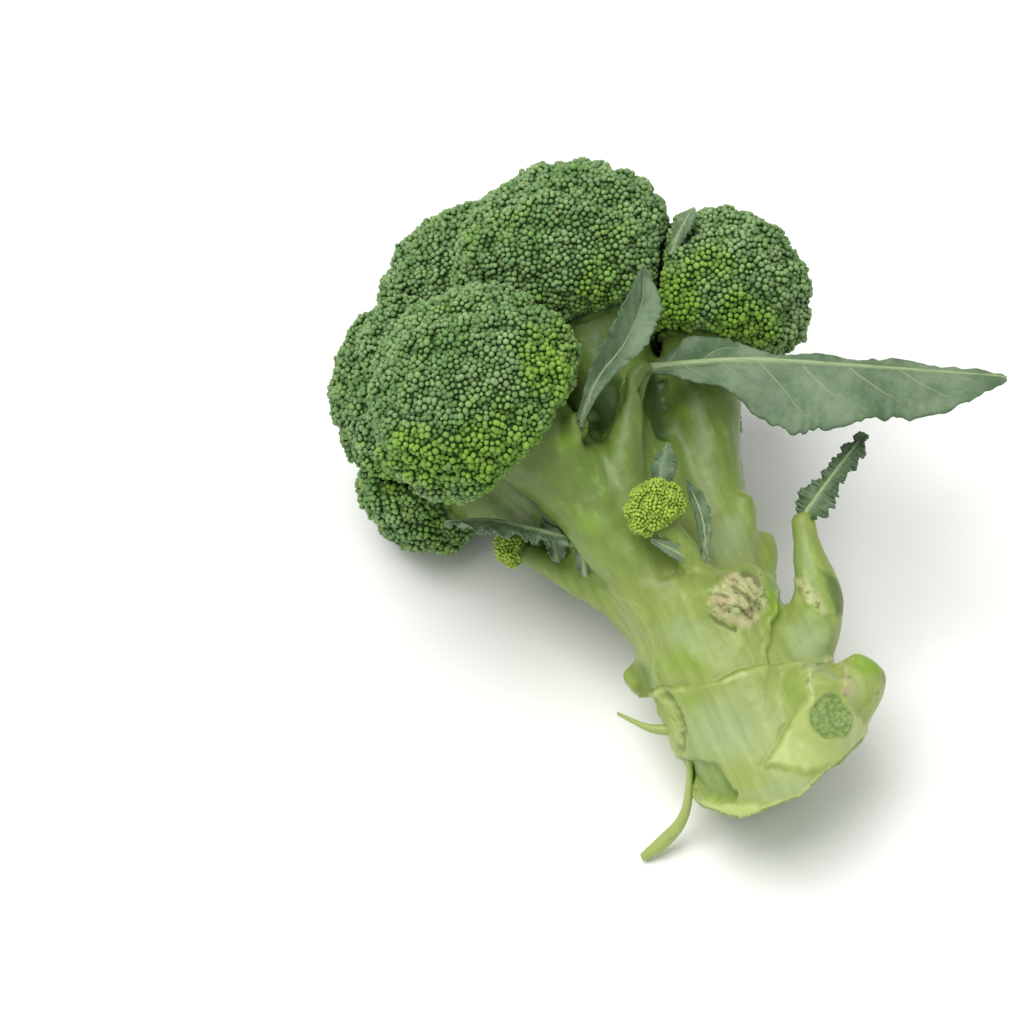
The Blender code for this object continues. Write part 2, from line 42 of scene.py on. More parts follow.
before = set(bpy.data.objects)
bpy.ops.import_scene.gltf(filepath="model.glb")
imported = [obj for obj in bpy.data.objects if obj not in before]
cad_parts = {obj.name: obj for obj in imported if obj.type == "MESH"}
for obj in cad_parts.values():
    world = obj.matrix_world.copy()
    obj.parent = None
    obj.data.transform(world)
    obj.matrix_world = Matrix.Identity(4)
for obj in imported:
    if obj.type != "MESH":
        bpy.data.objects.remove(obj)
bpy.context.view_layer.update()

MM = 0.001
TAU = 2 * math.pi
GOLDEN_TURN = math.pi * (3 - math.sqrt(5))

# The area that each of many packed spots takes up, as a share of the square of their pitch
PACKED_AREA = 0.866

# A distance in pixels or millimetres beyond all others
FAR = 1e9

# How the plant lies
DOWN_TURN = 103.5
STALK_RISE = 17.4
CUT_END_AT = Vector((-12.0, -82.1, 20.7)) * MM

# The photograph's view: its direction, how far the eye is from the cut end, and where the cut end
# stands in the picture, in pixels of PIXEL millimetres
VIEW_AZIMUTH = -26.3
VIEW_ELEVATION = 56.2
VIEW_DISTANCE = 0.8
PIXEL = 0.26
CUT_END_PIXEL = (775, 765)
PICTURE_SIDE = 1024

TRUNK = [
    (0.0, 0.0, -26.0, 21.5),
    (0.0, 0.0, 6.0, 22.0),
    (0.5, 0.0, 22.0, 21.0),
    (0.0, 0.0, 42.0, 20.5),
    (-0.5, 1.0, 58.0, 19.0),
    (0.0, 2.0, 72.0, 13.0),
]

# The three strokes of the knife at the cut end: how far each falls to the right and towards the
# front, in degrees, and the height at which it crosses the trunk's middle
KNIFE_STROKES = [(5.0, 14.0, -8.9), (-18.3, 14.0, -9.9), (42.0, 14.0, -20.4)]

FORK_HEIGHT = 44.0
FOCUS_HEIGHT = 66.0
BRANCH_SHARE = 0.36
BRANCH_FLARE = 1.35
BRANCH_STEPS = 12

SPRIGS = {
    "side_leaf_stalk": [
        (-3.0, -10.0, 64.0, 9.0),
        (-5.0, -17.0, 79.0, 7.2),
        (2.0, -22.0, 92.0, 4.6),
        (10.0, -25.0, 102.5, 3.3),
        (15.6, -26.3, 105.4, 2.8),
    ],
    "inner_leaf_stalk": [
        (-14.0, -14.0, 72.0, 6.0),
        (-14.8, -22.0, 83.0, 4.2),
        (-12.8, -28.5, 90.5, 3.4),
        (-6.6, -34.4, 97.6, 3.0),
    ],
    "frilled_leaf_stalk": [
        (14.0, -5.0, 19.0, 8.0),
        (23.0, -6.5, 26.5, 8.0),
        (28.8, -8.0, 34.5, 6.4),
        (31.6, -9.5, 45.0, 4.4),
        (34.4, -11.8, 55.2, 3.0),
    ],
    "front_shoot_stalk": [(5.0, -14.0, 44.0, 5.0), (3.5, -22.0, 52.0, 4.0), (0.5, -30.0, 64.0, 3.4)],
    "left_shoot_stalk": [
        (-15.0, -2.0, 54.0, 6.0),
        (-23.0, 0.0, 64.0, 4.2),
        (-30.0, 2.5, 75.0, 3.4),
        (-36.0, 4.5, 84.0, 3.0),
    ],
    "right_knob": [(14.0, -6.0, 3.0, 9.5), (25.0, -8.0, 7.0, 8.0), (33.0, -7.0, 12.0, 5.6)],
    "front_right_stub": [(8.0, -10.0, -2.0, 9.0), (15.0, -14.0, 5.0, 10.0), (22.0, -18.0, 12.5, 8.5)],
    "front_scar": [(4.0, -12.0, 38.0, 9.0), (6.5, -19.0, 44.0, 7.0)],
    "upper_right_stub": [(15.0, -4.0, 56.0, 5.0), (21.0, -6.0, 62.0, 3.6), (23.5, -7.0, 68.0, 2.8)],
    "right_stub": [(15.0, 0.0, 46.0, 5.0), (22.0, 1.0, 53.0, 3.4), (24.0, 1.5, 59.0, 2.4)],
    "left_knob": [(-12.0, 4.0, 40.0, 6.0), (-21.0, 5.0, 38.5, 4.8), (-25.5, 5.0, 37.0, 4.2)],
    "back_stub": [(-6.0, 12.0, 30.0, 7.0), (-9.0, 20.0, 35.0, 5.0)],
}
STRIPS = {
    "long_strip": [
        (-18.0, -2.0, 13.0, 2.4),
        (-23.0, 2.0, 4.0, 2.2),
        (-28.0, 6.0, -1.0, 1.8),
        (-35.0, 8.0, -3.5, 1.9),
        (-41.0, 9.3, -4.5, 1.2),
    ],
    "short_strip": [(-18.5, 0.0, 20.0, 1.9), (-25.0, 0.0, 23.5, 1.5), (-31.0, 1.0, 31.0, 0.8)],
}

# The florets: turn round the stalk, distance from its axis, height, radius and how flat the dome is
FLORETS = {
    "front_left": (228.5, 42.4, 115.0, 29.5, 0.94),
    "top_front": (302.0, 14.0, 144.0, 32.0, 0.90),
    "upper_left": (138.0, 22.5, 155.0, 31.0, 0.96),
    "left": (168.0, 40.0, 137.5, 29.5, 0.95),
    "right": (351.0, 40.0, 122.0, 25.5, 0.92),
    "lower_left": (152.0, 55.0, 123.0, 23.0, 0.95),
    "back": (108.0, 33.0, 119.0, 23.5, 0.95),
    "back_right": (70.0, 40.0, 114.0, 23.0, 0.95),
    "top_back": (60.0, 22.0, 142.0, 28.0, 0.92),
    "far_right": (24.0, 40.0, 124.0, 21.5, 0.92),
}
FLORET_GAP = 0.25
UNDERSIDE_SHARE = 0.60
SHOULDER_POWER = 11
LOBE_PITCH = 15.0
LOBE_RELIEF = 1.4

# How far down each head the buds go: -1 is straight back along its axis
RIM = -0.66
SHOOT_RIM = -0.55

# Where between a group's middle, 0, and its valley, 1, the relief of the groups is level
LEVEL_DEPTH = 0.45

# Where the picture shows young buds, free of bloom: the middle in pixels, how far the patch reaches
# across and down, and how strong it is
YOUNG_PATCHES = [
    (462, 452, 92, 46, 1.0),
    (548, 372, 44, 74, 0.75),
    (520, 432, 60, 50, 0.8),
    (392, 470, 46, 34, 0.7),
    (592, 292, 46, 30, 0.5),
    (672, 306, 42, 44, 1.1),
    (748, 322, 50, 42, 1.1),
    (700, 262, 60, 34, 0.55),
    (662, 246, 18, 16, 0.6),
    (512, 232, 60, 34, 0.3),
]

# The bud heads of the small shoots: middle, radius and the way each points
SHOOTS = {
    "front_shoot_buds": ((0.5, -31.0, 66.0), 8.0, (-0.15, -0.45, 0.88)),
    "left_shoot_buds": ((-37.0, 5.0, 86.0), 5.6, (-0.75, 0.1, 0.65)),
}

# Leaf blades: the rib's points; for the near and the far half, the way it leaves the rib and its
# widths at even steps from the leaf stalk to the tip; then how high the margin waves and how often.
# Each rib starts inside its leaf stalk.
LEAVES = {
    "side_leaf": (
        [(14.0, -25.8, 104.6), (37.3, -27.0, 94.5), (64.5, -24.0, 79.9), (96.6, -18.0, 62.9)],
        ((-0.44, -0.10, -0.90), (0.8, 3, 4.5, 7, 11, 18, 20, 17.5, 15.5, 13.5, 12.5, 8, 0.3)),
        ((0.40, 0.45, 0.80), (0.8, 6, 9.7, 10.2, 5, 3, 3, 3, 3, 3, 2.5, 2, 0.3)),
        (1.0, 5.0),
    ),
    "inner_leaf": (
        [
            (-9.0, -32.4, 95.4),
            (0.9, -38.5, 102.6),
            (11.0, -41.0, 107.3),
            (19.6, -43.0, 114.7),
            (24.0, -43.0, 123.5),
        ],
        ((0.75, -0.25, -0.55), (1.2, 2.2, 4, 6, 6.5, 6, 4, 0.3)),
        ((-0.35, -0.90, 0.25), (1.2, 2.2, 4.5, 7, 7.5, 6.5, 4, 0.3)),
        (0.8, 4.0),
    ),
    "frilled_leaf": (
        [(34.0, -11.6, 53.6), (41.5, -12.8, 57.8), (48.9, -12.8, 62.0), (58.3, -12.0, 67.2)],
        ((0.45, -0.35, -0.80), (1.5, 5.5, 5.5, 3.5, 3, 4, 3.5, 0.5)),
        ((-0.50, 0.35, 0.75), (1.5, 5, 5.5, 3, 3, 3.5, 3, 0.5)),
        (1.3, 7.0),
    ),
    "crown_leaf": (
        [(32.6, -29.4, 129.0), (39.4, -31.9, 134.0), (43.6, -30.4, 137.6)],
        ((0.55, -0.45, -0.70), (0.5, 2.2, 2.8, 2.2, 0.2)),
        ((-0.60, -0.45, 0.70), (0.5, 1.8, 2.4, 1.8, 0.2)),
        (0.3, 3.0),
    ),
    "under_leaf": (
        [(-22.5, -12.6, 74.5), (-32.0, -13.0, 83.0), (-40.0, -11.0, 90.0), (-51.0, -6.0, 97.0)],
        ((0.05, -0.70, -0.70), (1, 5, 8, 8, 6, 0.3)),
        ((-0.30, 0.90, 0.20), (1, 5.5, 9, 9, 6.5, 0.3)),
        (1.0, 5.0),
    ),
    "shoot_leaf": (
        [(6.2, -22.6, 50.5), (10.0, -29.5, 60.0), (10.5, -31.5, 70.0)],
        ((0.80, -0.55, 0.10), (0.8, 2.5, 3.2, 2.5, 0.2)),
        ((-0.55, -0.80, 0.10), (0.8, 2, 2.6, 2, 0.2)),
        (0.5, 4.0),
    ),
}

# Scraps of small leaves that the two shoots carry
LEAF_SCRAPS = {
    "upper_scrap": (
        [(3.0, -28.0, 70.0), (6.5, -29.5, 76.5), (10.5, -28.0, 82.5)],
        ((0.80, -0.30, -0.40), (0.5, 3, 4, 3, 0.2)),
        ((-0.80, -0.40, 0.40), (0.5, 2.5, 3, 2, 0.2)),
        (0.8, 3.0),
    ),
    "lower_scrap": (
        [(3.4, -22.5, 52.0), (0.5, -27.8, 55.0), (-4.0, -31.0, 60.0)],
        ((0.75, -0.10, 0.60), (0.5, 2, 2.4, 1.6, 0.2)),
        ((-0.60, 0.50, -0.60), (0.5, 1.6, 2, 1.4, 0.2)),
        (0.7, 3.0),
    ),
    "left_scrap": (
        [(-29.0, 1.6, 74.0), (-27.0, -3.5, 79.5), (-27.5, -7.0, 86.0)],
        ((0.90, -0.20, -0.20), (0.5, 3, 4, 2.5, 0.2)),
        ((-0.90, -0.30, 0.10), (0.5, 2, 2.5, 2, 0.2)),
        (1.2, 4.0),
    ),
    "branch_scrap": (
        [(-24.0, 0.0, 66.0), (-22.0, -6.0, 70.0), (-20.0, -10.5, 76.0)],
        ((0.90, -0.10, -0.30), (0.5, 2.2, 3, 2, 0.2)),
        ((-0.80, 0.20, 0.50), (0.5, 2, 2.6, 2, 0.2)),
        (1.2, 4.0),
    ),
}


# Where things are


def look_direction():
    """The way the camera looks."""
    turn = math.radians(VIEW_AZIMUTH)
    down = math.radians(VIEW_ELEVATION)
    return Vector((-math.sin(turn) * math.cos(down), math.cos(turn) * math.cos(down), -math.sin(down)))


def lying_matrix():
    """Lays the plant down: turns the down side under, then tips the stalk over towards +Y."""
    down_side_under = Matrix.Rotation(math.radians(90 - DOWN_TURN), 4, "Z")
    tip_over = Matrix.Rotation(math.radians(STALK_RISE - 90), 4, "X")
    return Matrix.Translation(CUT_END_AT) @ tip_over @ down_side_under


LYING = lying_matrix()
LOOK = look_direction()
PICTURE_RIGHT = LOOK.cross(Vector((0, 0, 1))).normalized()
PICTURE_UP = PICTURE_RIGHT.cross(LOOK)
EYE = CUT_END_AT - LOOK * VIEW_DISTANCE


def laid(points):
    """Plant points in millimetres, as they lie in the scene in metres."""
    return points * MM @ np.array(LYING.to_3x3()).T + np.array(LYING.translation)


def behind_pixel(across, down):
    """A point of the picture's plane through the cut end."""
    right = PICTURE_RIGHT * (across - CUT_END_PIXEL[0]) * PIXEL * MM
    up = PICTURE_UP * (CUT_END_PIXEL[1] - down) * PIXEL * MM
    return CUT_END_AT + right + up


def picture_pixels(points):
    """Where scene points in metres stand in the picture: pixels across and down."""
    off = points - np.array(EYE)
    reach = VIEW_DISTANCE / (off @ np.array(LOOK)) / (PIXEL * MM)
    across = CUT_END_PIXEL[0] + off @ np.array(PICTURE_RIGHT) * reach
    return across, CUT_END_PIXEL[1] - off @ np.array(PICTURE_UP) * reach


# Scene and mesh helpers


def deselect():
    """Leaves edit mode and selects nothing, so that an operator acts on its own piece alone."""
    if bpy.context.mode != "OBJECT":
        bpy.ops.object.mode_set(mode="OBJECT")
    bpy.ops.object.select_all(action="DESELECT")


def only(obj):
    """Makes one object the selected and active one."""
    deselect()
    obj.select_set(True)
    bpy.context.view_layer.objects.active = obj
    return obj


def joined(objects):
    """Several mesh objects made into one."""
    only(objects[0])
    for obj in objects[1:]:
        obj.select_set(True)
    bpy.ops.object.join()
    return bpy.context.object


def mesh_out_of(obj):
    """The object's mesh alone; the object is removed."""
    mesh = obj.data.copy()
    bpy.data.objects.remove(obj)
    return mesh


def points_of(mesh):
    """The mesh's points as rows."""
    flat = np.empty(len(mesh.vertices) * 3)
    mesh.vertices.foreach_get("co", flat)
    return flat.reshape(-1, 3)


def normals_of(mesh):
    """The mesh's normals, one a point."""
    flat = np.empty(len(mesh.vertices) * 3)
    mesh.vertex_normals.foreach_get("vector", flat)
    return flat.reshape(-1, 3)


def put_points(mesh, points):
    """Moves the mesh's points."""
    mesh.vertices.foreach_set("co", np.ascontiguousarray(points, dtype=np.float64).ravel())
    mesh.update()


def faces_of(mesh):
    """The corners of the mesh's faces in a row, and how many each face has."""
    corners = np.empty(len(mesh.loops), dtype=np.int32)
    mesh.loops.foreach_get("vertex_index", corners)
    sizes = np.empty(len(mesh.polygons), dtype=np.int32)
    mesh.polygons.foreach_get("loop_total", sizes)
    return corners, sizes


def paint(mesh, name, values):
    """Stores a number for each point, which a material reads by its name."""
    layer = mesh.attributes.new(name, "FLOAT", "POINT")
    layer.data.foreach_set("value", np.ascontiguousarray(values, dtype=np.float32))


def mesh_from(name, points, corners, sizes):
    """A mesh of the given points and faces, shaded smooth."""
    mesh = bpy.data.meshes.new(name)
    mesh.vertices.add(len(points))
    mesh.vertices.foreach_set("co", np.ascontiguousarray(points, dtype=np.float64).ravel())
    mesh.loops.add(len(corners))
    mesh.loops.foreach_set("vertex_index", np.ascontiguousarray(corners, dtype=np.int32))
    mesh.polygons.add(len(sizes))
    mesh.polygons.foreach_set("loop_start", np.concatenate([[0], np.cumsum(sizes)[:-1]]).astype(np.int32))
    mesh.update(calc_edges=True)
    mesh.shade_smooth()
    return mesh


def piece_from(name, mesh, finish, slot, *nodes):
    """A finished piece that rides on the plant's body and takes the place of its CAD nodes."""
    made = bpy.data.objects.new(name, mesh)
    bpy.context.scene.collection.objects.link(made)
    mesh.materials.clear()
    mesh.materials.append(finish)
    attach(made, "root")
    if nodes:
        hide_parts(*nodes)
    return made


def smooth_step(t):
    """An ease from 0 to 1."""
    t = np.clip(t, 0, 1)
    return t * t * (3 - 2 * t)


def noise_at(points, size, octaves=3, shift=0.0):
    """Smooth noise about 0 at each point, with lumps about as wide as size."""
    offset = Vector((shift, 2.3 * shift, -1.7 * shift))
    return np.array([noise.fractal(Vector(point) / size + offset, 1.0, 2.0, octaves) for point in points])


def sphere_points(count):
    """Evenly spread directions: a spiral that winds down a ball."""
    step = np.arange(count)
    up = 1 - (2 * step + 1) / count
    across = np.sqrt(1 - up**2)
    return np.stack([across * np.cos(GOLDEN_TURN * step), across * np.sin(GOLDEN_TURN * step), up], axis=1)


def spots_on(radius, pitch):
    """How many spots, packed a pitch apart, cover a ball."""
    return int(4 * math.pi * radius**2 / (PACKED_AREA * pitch**2))


def shaken_points(count, seed, rounds=7):
    """Directions spread as evenly as packed seeds, with no spiral left in them."""
    chance = np.random.default_rng(seed)
    gap = math.sqrt(4 * math.pi / (PACKED_AREA * count))
    spots = (sphere_points(count) + chance.normal(size=(count, 3)) * gap * 0.45).astype(np.float32)
    spots /= np.linalg.norm(spots, axis=1, keepdims=True)
    reach = math.cos(gap * 1.25)
    for _ in range(rounds):
        push = np.clip((spots @ spots.T - reach) / (1 - reach), 0, 1)
        spots += 0.22 * (spots * push.sum(axis=1, keepdims=True) - push @ spots)
        spots /= np.linalg.norm(spots, axis=1, keepdims=True)
    return spots.astype(np.float64)


# Materials


class Socket:
    """A node's output that Python's arithmetic acts on."""

    def __init__(self, finish, output):
        self.finish = finish
        self.output = output

    def __add__(self, other):
        return self.finish.maths("ADD", self, other)

    def __sub__(self, other):
        return self.finish.maths("SUBTRACT", self, other)

    def __rsub__(self, other):
        return self.finish.maths("SUBTRACT", other, self)

    def __mul__(self, other):
        return self.finish.maths("MULTIPLY", self, other)


class Finish:
    """A material that is put together node by node."""

    def __init__(self, name):
        self.material = bpy.data.materials.new(name)
        self.material.use_nodes = True
        self.tree = self.material.node_tree
        self.shader = self.tree.nodes["Principled BSDF"]

    def node(self, kind, settings=None, sockets=None, output=0):
        """A new node: its settings first, then what its sockets hold or are fed by."""
        made = self.tree.nodes.new(kind)
        for name, value in (settings or {}).items():
            if name == "stops":
                self.lay_stops(made.color_ramp.elements, value)
            else:
                setattr(made, name, value)
        for key, value in (sockets or {}).items():
            self.feed(made.inputs[key], value)
        return Socket(self, made.outputs[output])

    def lay_stops(self, stops, wanted):
        """Gives a ramp its stops."""
        while len(stops) < len(wanted):
            stops.new(1.0)
        for stop, (place, colour) in zip(stops, wanted):
            stop.position = place
            stop.color = colour

    def feed(self, socket, value):
        """Links a socket to another node's output, or sets its value."""
        if isinstance(value, Socket):
            self.tree.links.new(value.output, socket)
        else:
            socket.default_value = value

    def set(self, **values):
        """Feeds or sets the shader's own sockets, named in words joined by underscores."""
        for name, value in values.items():
            self.feed(self.shader.inputs[name.replace("_", " ")], value)
        return self.material

    def maths(self, operation, first, second):
        """A sum, product or the like of two numbers."""
        return self.node("ShaderNodeMath", {"operation": operation}, {0: first, 1: second})

    def painted(self, name):
        """A number that was stored on the piece's points."""
        return self.node("ShaderNodeAttribute", {"attribute_name": name}, output=2)

    def mix(self, first, second, share):
        """One colour turned into another by a share."""
        settings = {"data_type": "RGBA", "clamp_factor": True}
        return self.node("ShaderNodeMix", settings, {0: share, 6: first, 7: second}, output=2)

    def shade(self, colour, amount):
        """A colour made darker or lighter by a number."""
        grey = self.node("ShaderNodeCombineColor", None, {0: amount, 1: amount, 2: amount})
        settings = {"data_type": "RGBA", "blend_type": "MULTIPLY"}
        return self.node("ShaderNodeMix", settings, {0: 1.0, 6: colour, 7: grey}, output=2)

    def eased(self, value, low, high, to_low=0.0, to_high=1.0):
        """A smooth rise as the value goes from low to high."""
        settings = {"interpolation_type": "SMOOTHSTEP"}
        return self.node(
            "ShaderNodeMapRange", settings, {0: value, 1: low, 2: high, 3: to_low, 4: to_high}
        )

    def place(self):
        """The point's place on the object."""
        return self.node("ShaderNodeTexCoord", output=3)

    def along_stalk(self, vector):
        """A place whose noise is drawn out along the lying trunk."""
        sockets = {0: vector, 2: (math.radians(STALK_RISE), 0.0, 0.0), 3: (1.0, 14.0, 1.0)}
        return self.node("ShaderNodeMapping", {"vector_type": "TEXTURE"}, sockets)

    def noise(self, vector, scale, detail=3.0, roughness=0.55):
        """Soft noise from 0 to 1."""
        sockets = {"Vector": vector, "Scale": scale, "Detail": detail, "Roughness": roughness}
        return self.node("ShaderNodeTexNoise", None, sockets)

    def cells(self, vector, scale, feature="F1"):
        """Distance to the nearest of scattered points."""
        return self.node("ShaderNodeTexVoronoi", {"feature": feature}, {"Vector": vector, "Scale": scale})

    def bump(self, height, distance, strength=1.0):
        """Surface relief for the Normal socket."""
        return self.node(
            "ShaderNodeBump", None, {"Height": height, "Distance": distance, "Strength": strength}
        )


def solid(colour):
    """A property's colour with full cover, as a socket takes it."""
    return (*colour, 1.0)


def bud_finish(name, settings, young_green, young_tip_highlight, gap):
    """Closed buds: painted shade in the gaps and at their feet, green sides, a dusty bloom on top that is
    partly a painted highlight, and yellow-green where they are young.
    """
    finish = Finish(name)
    tip = finish.painted("tip")
    tone = finish.painted("tone")
    hue = finish.painted("hue")
    patch = finish.noise(finish.place(), 70.0, 3.0)
    young = finish.painted("young") + (tone - 0.5) * 0.5 + (patch - 0.5) * 0.8
    young = finish.eased(young, 0.15, 1.1, 0.0, 0.9)
    green = finish.mix(solid(settings.bud_dark), solid(settings.bud_green), tone)
    green = finish.mix(green, solid(settings.bud_blue), finish.eased(hue, 0.62, 1.0, 0.0, 0.6))
    green = finish.mix(green, solid(settings.bud_brown), finish.eased(hue, 0.16, 0.0, 0.0, 0.55))
    fresh = finish.mix(green, solid(young_green), young)
    # Partly the real waxy bloom, partly a painted highlight: the tops of the buds pale towards the bloom
    # colour
    dusty = finish.eased(tip, 0.35, 1.0) * finish.eased(patch, 0.3, 0.7, 0.30, 0.80)
    dusty = dusty * (1.0 - young * 0.4) * (tone * 0.7 + 0.6)
    pale = finish.mix(solid(settings.bud_bloom_highlight), solid(young_tip_highlight), young)
    bloomed_and_highlit = finish.mix(fresh, pale, dusty)
    # Painted shade: each bud darkens towards its foot and in the valleys between its groups, down to the gap
    # colour
    deep = finish.eased(tip, 0.05, 0.7) * finish.eased(finish.painted("deep"), 1.3, 0.15, 0.5, 1.0)
    shaded = finish.mix(solid(gap), bloomed_and_highlit, deep)
    # Painted shade: the bare underside darkens between its raised branchlets
    ridge = finish.eased(finish.painted("ridge"), 0.1, 0.8, 0.55, 1.0)
    bare = finish.shade(solid(settings.branch_green), ridge)
    colour = finish.mix(shaded, bare, finish.painted("stem"))
    grain = finish.noise(finish.place(), 2200.0, 2.0)
    return finish.set(
        Base_Color=colour,
        Roughness=0.68 - dusty * 0.1,
        Normal=finish.bump(grain, 0.00015, 0.6),
        Specular_IOR_Level=0.35,
        Subsurface_Weight=0.06,
        Subsurface_Radius=(0.4, 1.0, 0.2),
        Subsurface_Scale=0.0008,
    )


def stalk_finish(settings):
    """Waxy skin that is pale at the cut end and greener up the branches, with scars and raw cuts, painted
    shade in its hollows and creases, and a painted highlight on the edges of its plates.
    """
    finish = Finish("stalk_skin")
    place = finish.place()
    streaks = finish.noise(finish.along_stalk(place), 420.0, 4.0)
    mottle = finish.noise(place, 70.0, 4.0)
    blotch = finish.noise(place, 26.0, 2.0)
    fine = finish.noise(place, 420.0, 3.0)
    uneven = (mottle - 0.5) * 0.5 + (fine - 0.5) * 0.25
    height = finish.painted("height") + (blotch - 0.5) * 0.35 + (mottle - 0.5) * 0.2
    low = finish.mix(solid(settings.stalk_pale), solid(settings.stalk_mid), finish.eased(height, 0.0, 0.55))
    skin = finish.mix(low, solid(settings.branch_green), finish.eased(height, 0.45, 0.95))
    greener = finish.eased(blotch + uneven * 0.6, 0.50, 0.75, 0.0, 0.35)
    skin = finish.mix(skin, solid(settings.stalk_vivid), greener)
    vivid = finish.eased(finish.painted("vivid") + uneven * 0.8, 0.05, 1.1, 0.0, 0.9)
    skin = finish.mix(skin, solid(settings.stalk_vivid), vivid)
    waxy = finish.eased(finish.painted("waxy") + uneven * 0.8, 0.0, 1.1, 0.0, 0.8)
    skin = finish.mix(skin, solid(settings.stalk_wax), waxy)
    skin = finish.shade(skin, finish.eased(streaks, 0.25, 0.75, 0.86, 1.08))
    skin = finish.mix(skin, solid(settings.stalk_lip), finish.eased(fine + streaks, 1.1, 1.4, 0.0, 0.18))
    # The lip colour also paints a highlight on the raised edges of the plates
    rim = finish.maths("MAXIMUM", finish.painted("pale"), finish.painted("rim"))
    skin = finish.mix(skin, solid(settings.stalk_lip), finish.eased(rim + uneven * 0.5, 0.1, 1.1, 0.0, 0.8))
    # Painted shade: darker skin in the hollows between the leaf stalks, in creases and grooves and in the
    # crescent above the cut
    dusk = finish.eased(finish.painted("dusk") + uneven * 0.6, 0.1, 0.9, 0.0, 0.85)
    skin = finish.mix(skin, solid(settings.stalk_dusk), dusk)
    raw = finish.eased(finish.painted("raw") + uneven * 0.4, 0.3, 0.75)
    pores = finish.eased(finish.noise(place, 800.0, 5.0, 0.75), 0.36, 0.64)
    pores = pores * finish.eased(mottle, 0.35, 0.6, 0.55, 1.0)
    flesh = finish.mix(solid(settings.flesh_dark), solid(settings.flesh_pale), pores)
    skin = finish.mix(skin, flesh, raw)
    scar = finish.eased(finish.painted("scar") + uneven, 0.2, 0.8)
    cracks = finish.eased(finish.noise(place, 340.0, 4.0, 0.6), 0.34, 0.46)
    pinkish = finish.eased(finish.noise(place, 200.0, 2.0), 0.48, 0.62)
    healed = finish.mix(solid(settings.scar_pale), solid(settings.scar_pink), pinkish)
    healed = finish.mix(solid(settings.scar_dark), healed, cracks)
    skin = finish.mix(skin, healed, scar * 0.9)
    crack = finish.eased(finish.painted("crack") + uneven * 0.8, 0.25, 0.9)
    skin = finish.mix(skin, solid(settings.scar_dark), crack * 0.65)
    relief = fine * 0.4 + streaks * 0.35 + scar * cracks * 0.7 + raw * pores * 0.8
    return finish.set(
        Base_Color=skin,
        Roughness=finish.eased(waxy + raw * 0.5, 0.0, 0.8, 0.40, 0.62),
        Normal=finish.bump(relief, 0.0005, 0.6),
        Specular_IOR_Level=0.4,
        Subsurface_Weight=0.25,
        Subsurface_Radius=(0.8, 1.0, 0.35),
        Subsurface_Scale=0.0025,
    )


def leaf_finish(settings):
    """Grey-green blade with pale veins, a dusty bloom and a slightly dark, worn margin."""
    finish = Finish("leaf_skin")
    rib = finish.painted("rib")
    reach = finish.painted("reach")
    place = finish.place()
    patch = finish.noise(place, 60.0, 4.0)
    fine = finish.noise(place, 500.0, 3.0)
    bent = finish.painted("phase") + (patch - 0.5) * 0.22
    vein = finish.eased(finish.maths("PINGPONG", bent, 0.5), finish.eased(reach, 0.0, 1.0, 0.07, 0.02), 0.0)
    vein = vein * finish.eased(reach, 1.0, 0.7)
    net = finish.eased(finish.cells(place, 420.0, "DISTANCE_TO_EDGE"), 0.10, 0.0, 0.0, 0.18)
    body = finish.mix(solid(settings.leaf_dark), solid(settings.leaf_green), finish.eased(patch, 0.3, 0.7))
    dusty = finish.eased(patch + (fine - 0.5) * 0.5, 0.35, 0.75, 0.05, 0.6)
    body = finish.mix(body, solid(settings.leaf_bloom), dusty)
    body = finish.mix(body, solid(settings.leaf_vein), finish.maths("MAXIMUM", vein * 0.7, net * 0.6))
    body = finish.mix(body, solid(settings.leaf_rib), rib)
    margin = finish.eased(finish.painted("edge"), 0.88, 1.0, 0.0, 0.55)
    body = finish.mix(body, solid(settings.leaf_dark), margin)
    return finish.set(
        Base_Color=body,
        Roughness=finish.eased(dusty, 0.0, 0.6, 0.48, 0.68),
        Normal=finish.bump(vein * 0.8 + net * 0.5 + fine * 0.3, 0.0004, 0.5),
        Specular_IOR_Level=0.4,
        Subsurface_Weight=0.15,
        Subsurface_Radius=(0.4, 1.0, 0.2),
        Subsurface_Scale=0.001,
    )


def floor_finish(settings):
    """A plain pale floor with the faintest mottle."""
    finish = Finish("floor")
    patch = finish.noise(finish.place(), 3.0, 2.0)
    warm = tuple(0.985 * value for value in settings.floor_colour)
    return finish.set(
        Base_Color=finish.mix(solid(settings.floor_colour), solid(warm), patch),
        Roughness=0.9,
        Specular_IOR_Level=0.1,
    )


# Florets


